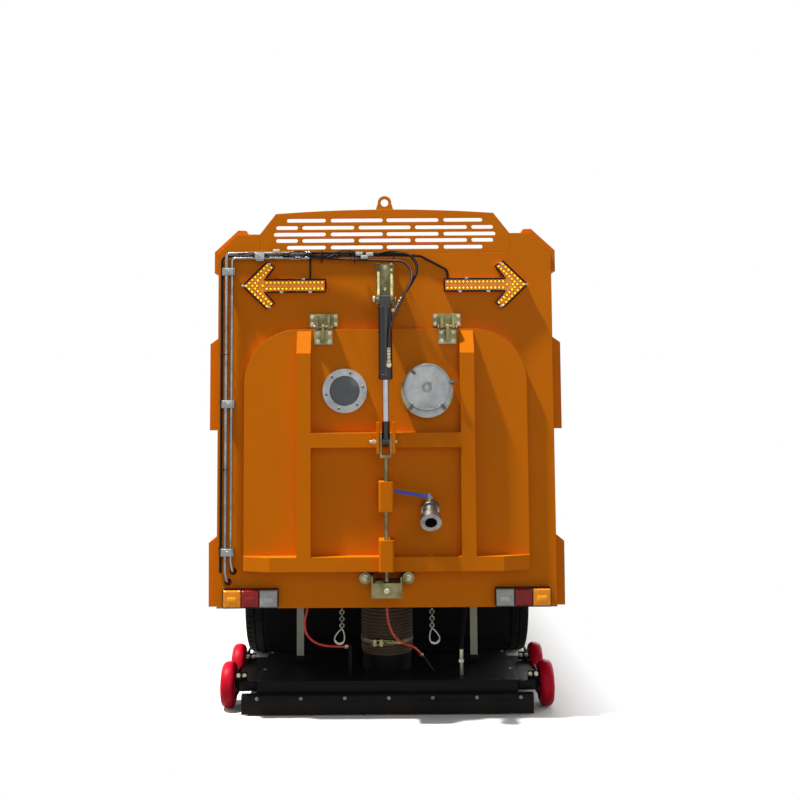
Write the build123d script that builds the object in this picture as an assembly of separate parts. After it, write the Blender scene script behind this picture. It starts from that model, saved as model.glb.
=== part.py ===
from build123d import *
import math
import os

# Truck-mounted vacuum sweeper. Millimetres, +Z up, +Y is the driving direction, +X the right side.
# The origin is on the ground under the middle of the vehicle.

# Overall
NOSE_REACH = 7390            # rear panel to the front of the bumper
TAIL_REACH = 280             # rear panel to the mouth of the drain valve
REAR = TAIL_REACH - (NOSE_REACH + TAIL_REACH) / 2      # outer plane of the rear panel
FRONT = REAR + NOSE_REACH

# Running gear
REAR_AXLE_Y = REAR + 1850
FRONT_OVERHANG = 1340          # front axle to the front of the bumper
FRONT_AXLE_Y = FRONT - FRONT_OVERHANG
TYRE_R = 490
TYRE_W = 235
RIM_R = 254
AXLE_Z = TYRE_R
KINGPIN_X = 800
FRONT_TYRE_X = 1002          # middle of a front tyre
REAR_TYRE_X = (720, 1004)    # middles of the twin rear tyres
PIN_GAP = 0.06               # running clearance of every pin and shaft

# Chassis
RAIL_OUT = 425
RAIL_IN = 350
RAIL_BOTTOM = 700
RAIL_TOP = 940

# Body
BODY_X = 1120                # half width over the flat side panels
WALL = 40
BODY_BOTTOM = 710
FLOOR_Z = 1050
FLOOR_T = 40
ROOF_Z = 3000
ROOF_T = 40
SHOULDER_Z = 3180
SIDE_START = REAR + 60       # the side panels begin behind the rear panel
CAB_LENGTH = 1750
BODY_FRONT = FRONT - CAB_LENGTH - 290
BULKHEAD_Y = BODY_FRONT - 1450
ARCH_R = 600

# Rear door, hung from its top edge
DOOR_X = 937
DOOR_BOTTOM = 958
DOOR_TOP = 2536
DOOR_CORNER_R = 357
DOOR_SKIN = 40
RIB = 70
SKIN_Y = REAR - DOOR_SKIN
RIB_Y = SKIN_Y - RIB
HINGE_Y = REAR - 75
HINGE_Z = 2548
HINGE_X = 411
HINGE_PIN_R = 10

# Door cylinder and lock
CYL_Y = REAR - 165
PIVOT_Z = 2723
CLEVIS_Z = 1796
BARREL_R = 45
BARREL_TOP = PIVOT_Z - 55
BARREL_BOTTOM = 2204
ROD_R = 20
PIVOT_PIN_R = 14
LOCK_ROD_R = 14
KEEPER_SHELF = 900
KEEPER_TOP = 936

# Suction head
HEAD_WHEEL_R = 150
HEAD_WHEEL_W = 92
HEAD_WHEEL_X = 1070
HEAD_WHEEL_Y = (REAR + 280, REAR + 780)
HOSE_Y = REAR + 500
HOSE_R = 182
COLLAR_TOP = 372
HEAD_TOP = 214

# Cab
CAB_X = 1110
CAB_WALL = 50
CAB_REAR = FRONT - CAB_LENGTH
CAB_FLOOR = 1050
DOOR_REAR_Y = FRONT - 1220
DOOR_FRONT_Y = FRONT - 270
CAB_HINGE_X = CAB_X + 14
CAB_HINGE_Y = DOOR_FRONT_Y + 15
DOOR_GAP = 7

os.makedirs("parts", exist_ok=True)


def save(name, *solids):
    """Write one node; several solids in a node do not touch."""
    shape = solids[0] if len(solids) == 1 else Compound(children=list(solids))
    export_step(shape, f"parts/{name}.step")


def box(x0, x1, y0, y1, z0, z1):
    """A block between three pairs of coordinates."""
    return Pos((x0 + x1) / 2, (y0 + y1) / 2, (z0 + z1) / 2) * Box(abs(x1 - x0), abs(y1 - y0), abs(z1 - z0))


def rod(axis, r, start, length):
    """A cylinder from a start point along +X, +Y or +Z."""
    turn = {"X": Rot(0, 90, 0), "Y": Rot(-90, 0, 0), "Z": Rot(0, 0, 0)}[axis]
    return Pos(*start) * turn * Pos(0, 0, length / 2) * Cylinder(r, length)


def prism(plane, points, start, end):
    """A polygon in XZ, YZ or XY, pulled out between two coordinates of the third axis."""
    face = make_face(Polyline(*points, close=True))
    if plane == "XZ":
        frame = Plane(origin=(0, end, 0), x_dir=(1, 0, 0), z_dir=(0, -1, 0))
    elif plane == "YZ":
        frame = Plane(origin=(start, 0, 0), x_dir=(0, 1, 0), z_dir=(1, 0, 0))
    else:
        frame = Plane(origin=(0, 0, start), x_dir=(1, 0, 0), z_dir=(0, 0, 1))
    return extrude(frame * face, amount=end - start)


def mirrored(shape):
    """The same shape on the other side of the vehicle."""
    return mirror(shape, about=Plane.YZ)


def spun(profile, centre, side=1):
    """A profile of (distance outward, radius) points turned about a wheel axle along X."""
    face = make_face(Polyline(*profile, close=True))
    solid = revolve(face, axis=Axis.X, revolution_arc=360)
    if side < 0:
        solid = mirror(solid, about=Plane.YZ)
    return Pos(*centre) * solid


def tube(points, r, bend):
    """A round bar or hose along points with rounded corners."""
    path = FilletPolyline(*points, radius=bend)
    start = Plane(origin=path @ 0, z_dir=path % 0)
    return sweep(start * Circle(r), path=path)


def hose_along(name, points, r):
    """A free hose: straight runs joined by the largest arcs that its runs allow."""
    runs = [Vector(*b) - Vector(*a) for a, b in zip(points, points[1:])]
    radii = []
    for before, after in zip(runs, runs[1:]):
        half_turn = math.radians(before.get_angle(after)) / 2
        radii.append(0.45 * min(before.length, after.length) / math.tan(half_turn))
    path = FilletPolyline(*points, radius=radii)
    start = Plane(origin=path @ 0, z_dir=path % 0)
    solid = sweep(start * Circle(r), path=path)
    tight = min(radii) / (2 * r)
    print(name, "length", round(path.length), "tightest bend", round(tight, 1), "diameters",
          "volume share", round(solid.volume / (math.pi * r * r * path.length), 3))
    save(name, solid)


# Chassis frame
frame = box(RAIL_IN, RAIL_OUT, REAR + 90, FRONT - 160, RAIL_BOTTOM, RAIL_TOP)
frame += mirrored(frame)
# Cross members: middle along Y, half thickness
for member_y, half in ((REAR + 130, 40), (REAR + 1100, 40), (REAR + 2700, 40), (REAR + 4300, 40), (FRONT - 230, 50)):
    frame += box(-RAIL_IN, RAIL_IN, member_y - half, member_y + half, RAIL_BOTTOM + 40, RAIL_TOP - 30)
# Subframe that carries the body
subframe = box(RAIL_IN, RAIL_OUT, REAR + 90, BODY_FRONT - 50, RAIL_TOP, FLOOR_Z)
for bearer_y in (REAR + 900, REAR + 2800, REAR + 3800, BODY_FRONT - 150):
    subframe += box(RAIL_OUT, BODY_X - WALL, bearer_y - 35, bearer_y + 35, FLOOR_Z - 80, FLOOR_Z)
frame += subframe + mirrored(subframe)
# Spring hangers: distance from the axle
for axle_y in (FRONT_AXLE_Y, REAR_AXLE_Y):
    for reach in (-640, 640):
        hanger = box(RAIL_OUT, 508, axle_y + reach - 40, axle_y + reach + 40, 640, 760)
        frame += hanger + mirrored(hanger)
# Tabs that hold the upper ends of the hoses to the head
frame += box(-560, -RAIL_OUT, REAR + 180, REAR + 220, 760, 772)
frame += box(RAIL_OUT, 556, REAR + 220, REAR + 260, 760, 772)
# Cab mounts on the rails
for mount_y in (CAB_REAR + 120, CAB_REAR + 1380):
    mount = box(RAIL_IN, RAIL_OUT, mount_y - 40, mount_y + 40, RAIL_TOP, CAB_FLOOR)
    frame += mount + mirrored(mount)
save("chassis_frame", frame)

# Axles
beam = box(-KINGPIN_X, KINGPIN_X, FRONT_AXLE_Y - 45, FRONT_AXLE_Y + 45, 400, 470)
for side in (-1, 1):
    boss = rod("Z", 48, (side * KINGPIN_X, FRONT_AXLE_Y, 400), 160)
    beam += boss
    beam -= rod("Z", 20 + PIN_GAP, (side * KINGPIN_X, FRONT_AXLE_Y, 390), 180)
save("front_axle", beam)

GEARBOX_Y = FRONT - 2290       # rear end of the gearbox
housing = rod("X", 68, (-560, REAR_AXLE_Y, AXLE_Z), 1120)
housing += Pos(0, REAR_AXLE_Y, AXLE_Z) * Sphere(195)
housing += rod("X", 45, (-1040, REAR_AXLE_Y, AXLE_Z), 2080)
housing += rod("Y", 70, (0, REAR_AXLE_Y, AXLE_Z), 300)
# Propeller shaft to the gearbox
housing += rod("Y", 42, (0, REAR_AXLE_Y + 295, AXLE_Z + 20), GEARBOX_Y - REAR_AXLE_Y - 295)
save("rear_axle", housing)

# Leaf springs: a curved pack under each rail, resting on its axle
springs = []
for axle_y, seat_z in ((FRONT_AXLE_Y, 470), (REAR_AXLE_Y, AXLE_Z + 68)):
    arc = [(axle_y + t * 640, seat_z + 40 + (600 - seat_z) * ((abs(t) - 0.25) / 0.75) ** 2)
           for t in (-1, -0.6, -0.25, 0.25, 0.6, 1)]
    lower = [(y, z - (14 if abs(y - axle_y) > 500 else 40)) for y, z in reversed(arc)]
    pack = prism("YZ", arc + lower, 436, 506)
    springs += [pack, mirrored(pack)]
save("leaf_springs", *springs)

# Steering knuckles and wheels
tyre_profile = [(-TYRE_W / 2 + 18, RIM_R), (-TYRE_W / 2, RIM_R + 60), (-TYRE_W / 2 + 4, TYRE_R - 60),
                (-TYRE_W / 2 + 26, TYRE_R - 10), (-TYRE_W / 2 + 60, TYRE_R), (TYRE_W / 2 - 60, TYRE_R),
                (TYRE_W / 2 - 26, TYRE_R - 10), (TYRE_W / 2 - 4, TYRE_R - 60), (TYRE_W / 2, RIM_R + 60),
                (TYRE_W / 2 - 18, RIM_R)]
BARREL = TYRE_W / 2 - 18
front_rim = [(-BARREL, RIM_R), (-BARREL, RIM_R - 26), (20, RIM_R - 26), (40, 150), (40, 80), (-30, 80),
             (-30, 35 + PIN_GAP), (100, 35 + PIN_GAP), (100, 76), (58, 80), (56, 150), (36, RIM_R - 26),
             (BARREL, RIM_R - 26), (BARREL, RIM_R)]
for name, side in (("left", -1), ("right", 1)):
    centre = (side * FRONT_TYRE_X, FRONT_AXLE_Y, AXLE_Z)
    save(f"tyre_front_{name}", spun(tyre_profile, centre, side))
    save(f"rim_front_{name}", spun(front_rim, centre, side))
    # Knuckle: two lugs round the axle boss, a kingpin, a plate and the wheel spindle
    knuckle = rod("Z", 20, (KINGPIN_X, FRONT_AXLE_Y, 340), 280)
    for z0, z1 in ((340, 392), (568, 620)):
        knuckle += rod("Z", 46, (KINGPIN_X, FRONT_AXLE_Y, z0), z1 - z0)
        knuckle += box(KINGPIN_X, 880, FRONT_AXLE_Y - 40, FRONT_AXLE_Y + 40, z0, z1)
    knuckle += box(858, 885, FRONT_AXLE_Y - 60, FRONT_AXLE_Y + 60, 340, 620)
    knuckle += rod("X", 35, (870, FRONT_AXLE_Y, AXLE_Z), 225)
    save(f"knuckle_{name}", knuckle if side > 0 else mirrored(knuckle))

twin_gap = (REAR_TYRE_X[1] - REAR_TYRE_X[0]) / 2
mid_x = (REAR_TYRE_X[1] + REAR_TYRE_X[0]) / 2
# Twin rims share one pressed disc between them and a hub
twin_rim = [(-twin_gap - BARREL, RIM_R), (-twin_gap - BARREL, RIM_R - 26), (-14, RIM_R - 26), (-14, 130), (-60, 120),
            (-60, 45 + PIN_GAP), (166, 45 + PIN_GAP), (166, 110), (130, 120), (14, 130), (14, RIM_R - 26),
            (twin_gap + BARREL, RIM_R - 26), (twin_gap + BARREL, RIM_R)]
for name, side in (("left", -1), ("right", 1)):
    tyres = [spun(tyre_profile, (side * x, REAR_AXLE_Y, AXLE_Z), side) for x in REAR_TYRE_X]
    save(f"tyres_rear_{name}", *tyres)
    save(f"rims_rear_{name}", spun(twin_rim, (side * mid_x, REAR_AXLE_Y, AXLE_Z), side))

# Drive and tanks
engine = box(-320, 320, GEARBOX_Y + 620, FRONT - 340, 520, 1010)
engine += box(-190, 190, GEARBOX_Y, GEARBOX_Y + 620, 450, 900)
for y0 in (GEARBOX_Y + 700, GEARBOX_Y + 1400):
    engine += box(-RAIL_IN, RAIL_IN, y0, y0 + 80, 760, 840)
fuel = fillet(box(-1050, -470, REAR + 3100, REAR + 4150, 420, 880).edges().filter_by(Axis.Y), 60)
air = rod("Y", 140, (620, REAR + 3200, 600), 800) + rod("Y", 140, (920, REAR + 3200, 600), 800)
for y0 in (REAR + 3300, REAR + 3860):
    air += box(RAIL_OUT, 1060, y0, y0 + 40, 720, 770)
    fuel += box(-480, -RAIL_OUT, y0, y0 + 40, 720, 860)
save("chassis_tanks", fuel, air)

# Body sides: one section pulled along the vehicle
side_section = [(BODY_X - WALL, BODY_BOTTOM), (1178, BODY_BOTTOM), (1180, 1126), (BODY_X, 1172),
                (BODY_X, 1868), (1178, 1868), (1178, 2445), (BODY_X, 2486),
                (BODY_X, 2925), (1153, 2925), (1153, 3069), (994, 3217), (940, 3215), (920, SHOULDER_Z),
                (840, SHOULDER_Z), (840, ROOF_Z + ROOF_T), (BODY_X - WALL, ROOF_Z + ROOF_T)]
side_panel = prism("XZ", side_section, SIDE_START, BODY_FRONT)
side_panel -= rod("X", ARCH_R, (1000, REAR_AXLE_Y, AXLE_Z), 300)
# Louvred side openings over the blower bay: slot height, pitch, count
for row in range(9):
    z = 2050 + row * 42
    side_panel -= box(1000, 1300, BODY_FRONT - 1150, BODY_FRONT - 300, z, z + 20)
save("body_sides", side_panel, mirrored(side_panel))

IN_X = BODY_X - WALL
floor = box(-IN_X, IN_X, SIDE_START, BODY_FRONT, FLOOR_Z, FLOOR_Z + FLOOR_T)
floor -= rod("Z", HOSE_R - 20, (0, HOSE_Y, FLOOR_Z - 10), FLOOR_T + 20)
save("body_floor", floor)
save("body_roof", box(-IN_X, IN_X, SIDE_START, BODY_FRONT, ROOF_Z, ROOF_Z + ROOF_T))
walls = []
for y0 in (BULKHEAD_Y, BODY_FRONT - WALL):
    walls.append(box(-IN_X, IN_X, y0, y0 + WALL, FLOOR_Z + FLOOR_T, ROOF_Z))
save("body_bulkheads", *walls)
blower = box(-560, 560, BULKHEAD_Y + 250, BODY_FRONT - 260, FLOOR_Z + FLOOR_T, 2000)
save("engine_block", engine, blower)

# Rear panel with the door opening
panel_outline = [(-1117, BODY_BOTTOM), (1117, BODY_BOTTOM), (1117, 3055), (991, SHOULDER_Z), (840, SHOULDER_Z),
                 (840, 3050), (-840, 3050), (-840, SHOULDER_Z), (-991, SHOULDER_Z), (-1117, 3055)]
rear_panel = prism("XZ", panel_outline, REAR, SIDE_START)
opening = box(-DOOR_X + 55, DOOR_X - 55, REAR - 10, SIDE_START + 10, DOOR_BOTTOM + 135, DOOR_TOP - 60)
opening = fillet(opening.edges().filter_by(Axis.Y).group_by(Axis.Z)[-1], DOOR_CORNER_R - 55)
rear_panel -= opening
for x, z in ((-1008, 950), (-1042, 881)):
    rear_panel -= rod("Y", 24, (x, REAR - 5, z), 70)
save("rear_panel", rear_panel)

# Slotted fascia above the rear panel
crown = Polyline((-733, 3318), (-840, SHOULDER_Z), (-840, 3050), (840, 3050), (840, SHOULDER_Z), (733, 3318))
top_edge = ThreePointArc((733, 3318), (0, 3345), (-733, 3318))
fascia_plane = Plane(origin=(0, REAR + 20, 0), x_dir=(1, 0, 0), z_dir=(0, -1, 0))
fascia = extrude(fascia_plane * make_face(crown + top_edge), amount=20)
# Slot rows: height, (middle, length) of each slot; every row is the same left and right
SLOT_H = 27
LONG = 351
SLOT_ROWS = (
    (3273, ((188, LONG), (528, 263))),
    (3224, ((0, LONG), (380, LONG), (658, 147))),
    (3179, ((188, LONG), (572, LONG))),
    (3136, ((0, LONG), (380, LONG), (658, 147))),
    (3090, ((188, LONG), (528, 263))),
)
slot_plane = Plane(origin=(0, REAR + 30, 0), x_dir=(1, 0, 0), z_dir=(0, -1, 0))
for z, slots in SLOT_ROWS:
    for middle, length in slots:
        for x in {middle, -middle}:
            slot = slot_plane * (Pos(x, z) * SlotOverall(length, SLOT_H))
            fascia -= extrude(slot, amount=40)
eye_plane = Plane(origin=(0, REAR + 18, 0), x_dir=(1, 0, 0), z_dir=(0, -1, 0))
eye = rod("Y", 46, (0, REAR + 2, 3391), 16) + box(-46, 46, REAR + 2, REAR + 18, 3335, 3391)
eye += prism("XZ", [(-62, 3335), (62, 3335), (46, 3385), (-46, 3385)], REAR + 2, REAR + 18)
eye -= rod("Y", 26, (0, REAR - 5, 3391), 30)
save("roof_fascia", fascia + eye)

# Rear door: skin, two posts with sloped tops, a middle beam and a bottom beam with tapered ends
skin = box(-DOOR_X, DOOR_X, SKIN_Y, REAR - 4, DOOR_BOTTOM, DOOR_TOP)
skin = fillet(skin.edges().filter_by(Axis.Y).group_by(Axis.Z)[-1], DOOR_CORNER_R)
door = skin
for x0 in (490, -585):
    post = [(SKIN_Y + 5, DOOR_BOTTOM), (SKIN_Y + 5, DOOR_TOP - 2), (RIB_Y, 2373), (RIB_Y, DOOR_BOTTOM)]
    door += prism("YZ", post, x0, x0 + 95)
door += box(-490, 490, RIB_Y, SKIN_Y + 5, 1755, 1852)
door += prism("XY", [(-DOOR_X, SKIN_Y + 5), (-DOOR_X, SKIN_Y - 14), (-761, RIB_Y), (761, RIB_Y),
                     (DOOR_X, SKIN_Y - 14), (DOOR_X, SKIN_Y + 5)], DOOR_BOTTOM, 1053)
# Ears that hold the cylinder's rod end, and the two guides of the lock rod
for x0 in (42, -62):
    door += box(x0, x0 + 20, CYL_Y - 38, RIB_Y + 5, 1718, 1922)
GUIDES = ((1348, 1541, 49), (970, 1168, 49))
for z0, z1, half in GUIDES:
    guide = box(-half, half, CYL_Y - 30, SKIN_Y + 5, z0, z1)
    guide = fillet(guide.edges().filter_by(Axis.Z).group_by(Axis.Y)[0], 14)
    door += guide
door -= rod("Z", LOCK_ROD_R + 1, (0, CYL_Y, DOOR_BOTTOM - 5), 1541 - DOOR_BOTTOM + 10)
# Ports: sight glass, inspection port and drain
GLASS_AT = (-270, 2126)
PORT_AT = (273, 2120)
DRAIN_AT = (284, 1370)
for (x, z), r in ((GLASS_AT, 104), (PORT_AT, 140), (DRAIN_AT, 36)):
    door -= rod("Y", r, (x, SKIN_Y - 20, z), 80)
save("rear_door", door)

gx, gz = GLASS_AT
ring = rod("Y", 146, (gx, SKIN_Y - 24, gz), 24) - rod("Y", 98, (gx, SKIN_Y - 40, gz), 80)
pane = rod("Y", 97, (gx, SKIN_Y - 8, gz), 16)
save("sight_glass", pane)

px, pz = PORT_AT
COVER_RISE = 28
cover = rod("Y", 172, (px, SKIN_Y - 60, pz), 60) + rod("Y", 154, (px, SKIN_Y - 92, pz + COVER_RISE), 40)
cover += rod("Y", 30, (px, SKIN_Y - 100, pz + COVER_RISE), 12)
save("door_ports", ring, cover)

# Drain valve: a stub out of the door, then a ball body that points outward and down
vx, vz = DRAIN_AT
stub = rod("Y", 36, (vx, SKIN_Y - 70, vz), 90)
tilt = 32
mouth = Pos(vx, SKIN_Y - 70, vz) * Rot(tilt, 0, 0) * Rot(90, 0, 0)
body = mouth * (Pos(0, 0, 70) * Cylinder(46, 140) + Pos(0, 0, 135) * Cylinder(68, 46)
                + Pos(0, 0, 10) * Cylinder(60, 40))
valve = stub + body + Pos(vx, SKIN_Y - 70, vz) * Sphere(52)
valve += Pos(vx - 6, SKIN_Y - 105, vz + 50) * Cylinder(15, 72)
valve -= mouth * Pos(0, 0, 100) * Cylinder(39, 200)
lever_side = [(54, vz + 98), (54, vz + 120), (vx + 14, vz + 78), (vx + 14, vz + 56)]
lever = prism("XZ", lever_side, SKIN_Y - 111, SKIN_Y - 99)
valve += Pos(vx - 6, SKIN_Y - 105, vz + 65) * Cylinder(9, 60)
save("drain_valve", valve + lever)

# Lock rod with the bracket that takes the cylinder's eye, and its collar
lock = rod("Z", LOCK_ROD_R, (0, CYL_Y, KEEPER_SHELF + 8), 1700 - KEEPER_SHELF - 8)
lock += box(-38, 38, CYL_Y - 26, CYL_Y + 22, 1694, 1712)
for x0 in (27, -38):
    lock += box(x0, x0 + 11, CYL_Y - 26, CYL_Y + 22, 1694, 1850)

# Hinges: fixed leaves with their pins on the panel, moving leaves on the door
moving = []
fixed = []
for side in (-1, 1):
    cx = side * HINGE_X
    leaf = box(cx - 92, cx + 92, REAR - 14, REAR, HINGE_Z + 4, 2638)
    for x0 in (cx - 46, cx + 30):
        leaf += box(x0, x0 + 16, HINGE_Y - 18, REAR - 10, HINGE_Z, 2622) + rod("X", 18, (x0, HINGE_Y, HINGE_Z), 16)
    leaf += rod("X", HINGE_PIN_R, (cx - 56, HINGE_Y, HINGE_Z), 112)
    fixed.append(leaf)
    swing = box(cx - 60, cx + 60, SKIN_Y - 14, SKIN_Y, 2432, HINGE_Z - 16)
    swing += box(cx - 9, cx + 9, HINGE_Y - 18, SKIN_Y, 2456, HINGE_Z) + rod("X", 18, (cx - 9, HINGE_Y, HINGE_Z), 18)
    swing -= rod("X", HINGE_PIN_R + PIN_GAP, (cx - 100, HINGE_Y, HINGE_Z), 200)
    moving.append(swing)
save("door_ironwork", lock, *moving)

# Cylinder bracket on the panel, with its pin
bracket = box(-58, 58, REAR - 12, REAR, 2690, 2975)
for x0 in (36, -50):
    cheek = [(REAR, 2690), (CYL_Y - 20, 2690), (CYL_Y - 42, 2712), (CYL_Y - 42, 2745),
             (REAR - 40, 2975), (REAR, 2975)]
    bracket += prism("YZ", cheek, x0, x0 + 14)
bracket += rod("X", PIVOT_PIN_R, (-66, CYL_Y, PIVOT_Z), 132)

barrel = rod("Z", BARREL_R, (0, CYL_Y, BARREL_BOTTOM), BARREL_TOP - BARREL_BOTTOM)
barrel += box(-33, 33, CYL_Y - 34, CYL_Y + 34, BARREL_TOP - 5, PIVOT_Z)
barrel += rod("X", 34, (-33, CYL_Y, PIVOT_Z), 66)
# Ports with crimped hose ends: the upper one leans outward, the lower one stands in front of the barrel
CRIMP_LEAN = 33
lean = math.radians(CRIMP_LEAN)
upper_port = Plane(origin=(58, CYL_Y, 2650), z_dir=(math.sin(lean), 0, math.cos(lean)))
UPPER_END = upper_port.origin + upper_port.z_dir * 105
LOWER_END = Vector(22, CYL_Y - 58, 2400)
barrel += rod("X", 13, (0, CYL_Y, 2650), 66) + extrude(upper_port * Circle(12), amount=105)
barrel += rod("Y", 13, (22, CYL_Y - 66, 2290), 66) + rod("Z", 12, (22, CYL_Y - 58, 2290), 110)
barrel -= rod("X", PIVOT_PIN_R + PIN_GAP, (-70, CYL_Y, PIVOT_Z), 140)
barrel -= rod("Z", ROD_R + PIN_GAP, (0, CYL_Y, BARREL_BOTTOM - 10), 330)
save("cylinder_barrel", barrel)
piston = rod("Z", ROD_R, (0, CYL_Y, CLEVIS_Z + 20), BARREL_BOTTOM + 60 - CLEVIS_Z - 20)
piston += rod("Z", 25, (0, CYL_Y, CLEVIS_Z), 132) + rod("X", 27, (-22, CYL_Y, CLEVIS_Z), 44)
piston -= rod("X", 12, (-30, CYL_Y, CLEVIS_Z), 60)
save("cylinder_rod", piston)

# Lock keeper with its two buffers under the door
keeper = box(-98, 98, CYL_Y - 30, REAR, 807, KEEPER_SHELF)
for x0 in (-98, 88):
    keeper += box(x0, x0 + 10, CYL_Y - 30, REAR, 807, KEEPER_TOP)
buffers = [rod("Y", 38, (x, REAR - 70, 912), 70) for x in (-140, 140)]
save("panel_ironwork", bracket, keeper, *buffers, *fixed)

# Lamps: arrow outlines and the rear clusters
def arrow(side):
    """A thick outline arrow that points away from the middle."""
    pts = [(950, 2828), (790, 2985), (738, 2952), (806, 2868), (397, 2868), (397, 2787), (806, 2787), (738, 2710),
           (790, 2676)]
    return prism("XZ", [(side * x, z) for x, z in pts], REAR - 34, REAR)


save("arrow_lamps", arrow(-1), arrow(1))
cluster = fillet(box(708, 1071, REAR - 45, REAR, 718, 840).edges().filter_by(Axis.Y), 10)
save("tail_lamps", cluster, mirrored(cluster))

# Pipes down the left edge of the rear panel, with their clamps
PIPE_Y = REAR - 34
pipes = []
for x, top_z, low_x, low_z in ((-1057, 3048, -1042, 881), (-1021, 3015, -1008, 950)):
    points = [(-572, PIPE_Y, top_z), (x, PIPE_Y, top_z), (x, PIPE_Y, low_z + 70), (low_x, PIPE_Y, low_z),
              (low_x, REAR + 50, low_z)]
    pipes.append(tube(points, 9, 24))
pipe_run = pipes[0] + pipes[1]
for z in (2924, 2044, 1079):
    pipe_run += box(-1084, -1000, PIPE_Y - 16, REAR, z - 26, z + 26)
pipe_run += box(-861, -809, PIPE_Y - 16, REAR, 2994, 3057)
CABLE_Y = REAR - 10
CABLE_Z = 3031
pipe_run -= rod("X", 9, (-880, CABLE_Y, CABLE_Z), 90)
save("hydraulic_pipes", pipe_run)

# Lamp cable beside the pipes, clipped to the panel all the way
cable = tube([(-1092, CABLE_Y, 940), (-1092, CABLE_Y, CABLE_Z), (100, CABLE_Y, CABLE_Z), (240, CABLE_Y, CABLE_Z - 6),
              (350, CABLE_Y, 2966), (420, CABLE_Y, 2928), (420, CABLE_Y, 2868)], 8, 40)
cable += tube([(-540, CABLE_Y, CABLE_Z), (-500, CABLE_Y, CABLE_Z), (-500, CABLE_Y, 2868)], 6, 20)
save("lamp_cable", cable)

# The two free hoses from the pipes to the ports of the door cylinder
UPPER_ROUTE = [(-572, REAR - 34, 3048), (-440, REAR - 34, 3048), (-250, REAR - 46, 3042), (-60, REAR - 59, 3037),
               (50, REAR - 72, 3036), (134, REAR - 84, 3034), (180, REAR - 94, 3010), (209, REAR - 110, 2967),
               (214, REAR - 130, 2915), (188, REAR - 152, 2850),
               tuple(UPPER_END + upper_port.z_dir * 70), tuple(UPPER_END)]
LOWER_ROUTE = [(-572, REAR - 34, 3015), (-440, REAR - 34, 3015), (-250, REAR - 56, 3002), (-60, REAR - 84, 2990),
               (28, REAR - 102, 2986), (100, REAR - 116, 2984), (148, REAR - 132, 2957), (176, REAR - 156, 2909),
               (176, REAR - 184, 2853), (146, REAR - 204, 2790), (112, REAR - 214, 2722), (76, CYL_Y - 53, 2650),
               (44, CYL_Y - 57, 2572), (22, CYL_Y - 58, 2490), tuple(LOWER_END)]
hose_along("door_hose_upper", UPPER_ROUTE, 9)
hose_along("door_hose_lower", LOWER_ROUTE, 9)

# Chains that hang under the body: ring links in turn
def chain(x, y, top_z, count):
    """Links of a hanging chain, alternating by a quarter turn and fused where they hook together."""
    link = Pos(0, 0, 0) * Torus(13, 5)
    whole = None
    for i in range(count):
        turn = Rot(90, 0, 0) if i % 2 else Rot(0, 90, 0)
        piece = Pos(x, y, top_z - i * 22) * turn * link
        whole = piece if whole is None else whole + piece
    return whole


# Rubber flap across the frame, between the suction head and the rear tyres
curtain = box(-930, 930, REAR + 1140, REAR + 1148, 220, 699)
save("mud_flap", curtain + box(-340, 340, REAR + 1140, REAR + 1148, 690, 800))
save("tow_chains", chain(-300, REAR + 130, 722, 8), chain(300, REAR + 130, 722, 8))

# Suction head: a low box on four wheels, with a collar for the hose and guide bars
HEAD_X = 865
head_y0, head_y1 = REAR + 110, REAR + 930
head = box(-HEAD_X, HEAD_X, head_y0, head_y1, 60, HEAD_TOP)
head -= box(-HEAD_X + 12, HEAD_X - 12, head_y0 + 12, head_y1 - 12, 40, HEAD_TOP - 12)
head += box(-962, 962, head_y0 - 22, head_y0, 122, 136)
head += box(-HEAD_X, HEAD_X, head_y1 - 12, head_y1, HEAD_TOP - 12, 275)
head += rod("Z", HOSE_R - 12, (0, HOSE_Y, HEAD_TOP), COLLAR_TOP - HEAD_TOP)
head -= rod("Z", HOSE_R - 24, (0, HOSE_Y, 150), COLLAR_TOP)
for x0 in (-637, 587):
    head += box(x0, x0 + 50, REAR + 560, REAR + 572, HEAD_TOP - 2, 820)
for side in (-1, 1):
    arm = box(HEAD_X, 1008, HEAD_WHEEL_Y[0] - 60, HEAD_WHEEL_Y[1] + 60, 120, 150 + 40)
    head += arm if side > 0 else mirrored(arm)
    for y in HEAD_WHEEL_Y:
        head += rod("X", 16, (side * 1054 - 65, y, HEAD_WHEEL_R), 130)
# Couplings where the hoses meet the head
head += box(-262, -238, REAR + 242, REAR + 266, HEAD_TOP - 6, 424)
head += box(-262, -238, REAR + 204, REAR + 266, 398, 424)
AIR_MIDDLE = [(0, REAR + 130, 740), (0, REAR + 130, 640), (16, REAR + 140, 550), (58, REAR + 154, 474),
              (126, REAR + 180, 430), (196, REAR + 222, 400), (232, REAR + 256, 341)]
coupling = Plane(origin=AIR_MIDDLE[-1], z_dir=Vector(*AIR_MIDDLE[-1]) - Vector(*AIR_MIDDLE[-2]))
head += extrude(coupling * Circle(13), amount=170) + rod("Z", 14, (500, REAR + 250, HEAD_TOP), 127)
save("suction_head", head)
flap = box(-962, 962, head_y0 - 34, head_y0 - 22, 8, 132)
save("rubber_flap", flap)
half_w = HEAD_WHEEL_W / 2
# From the hub outwards: offset along the axle, radius
wheel_half = [(half_w, 16 + PIN_GAP), (half_w, 60), (half_w - 14, 70), (half_w - 8, 96), (half_w, 112),
              (half_w - 3, 130), (half_w - 14, 143), (half_w - 30, 149)]
wheel_profile = [(-x, r) for x, r in wheel_half] + [(0, HEAD_WHEEL_R)] + wheel_half[::-1]
for side_name, side in (("left", -1), ("right", 1)):
    for end_name, y in (("rear", HEAD_WHEEL_Y[0]), ("front", HEAD_WHEEL_Y[1])):
        save(f"head_wheel_{end_name}_{side_name}", spun(wheel_profile, (side * HEAD_WHEEL_X, y, HEAD_WHEEL_R), side))

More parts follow.
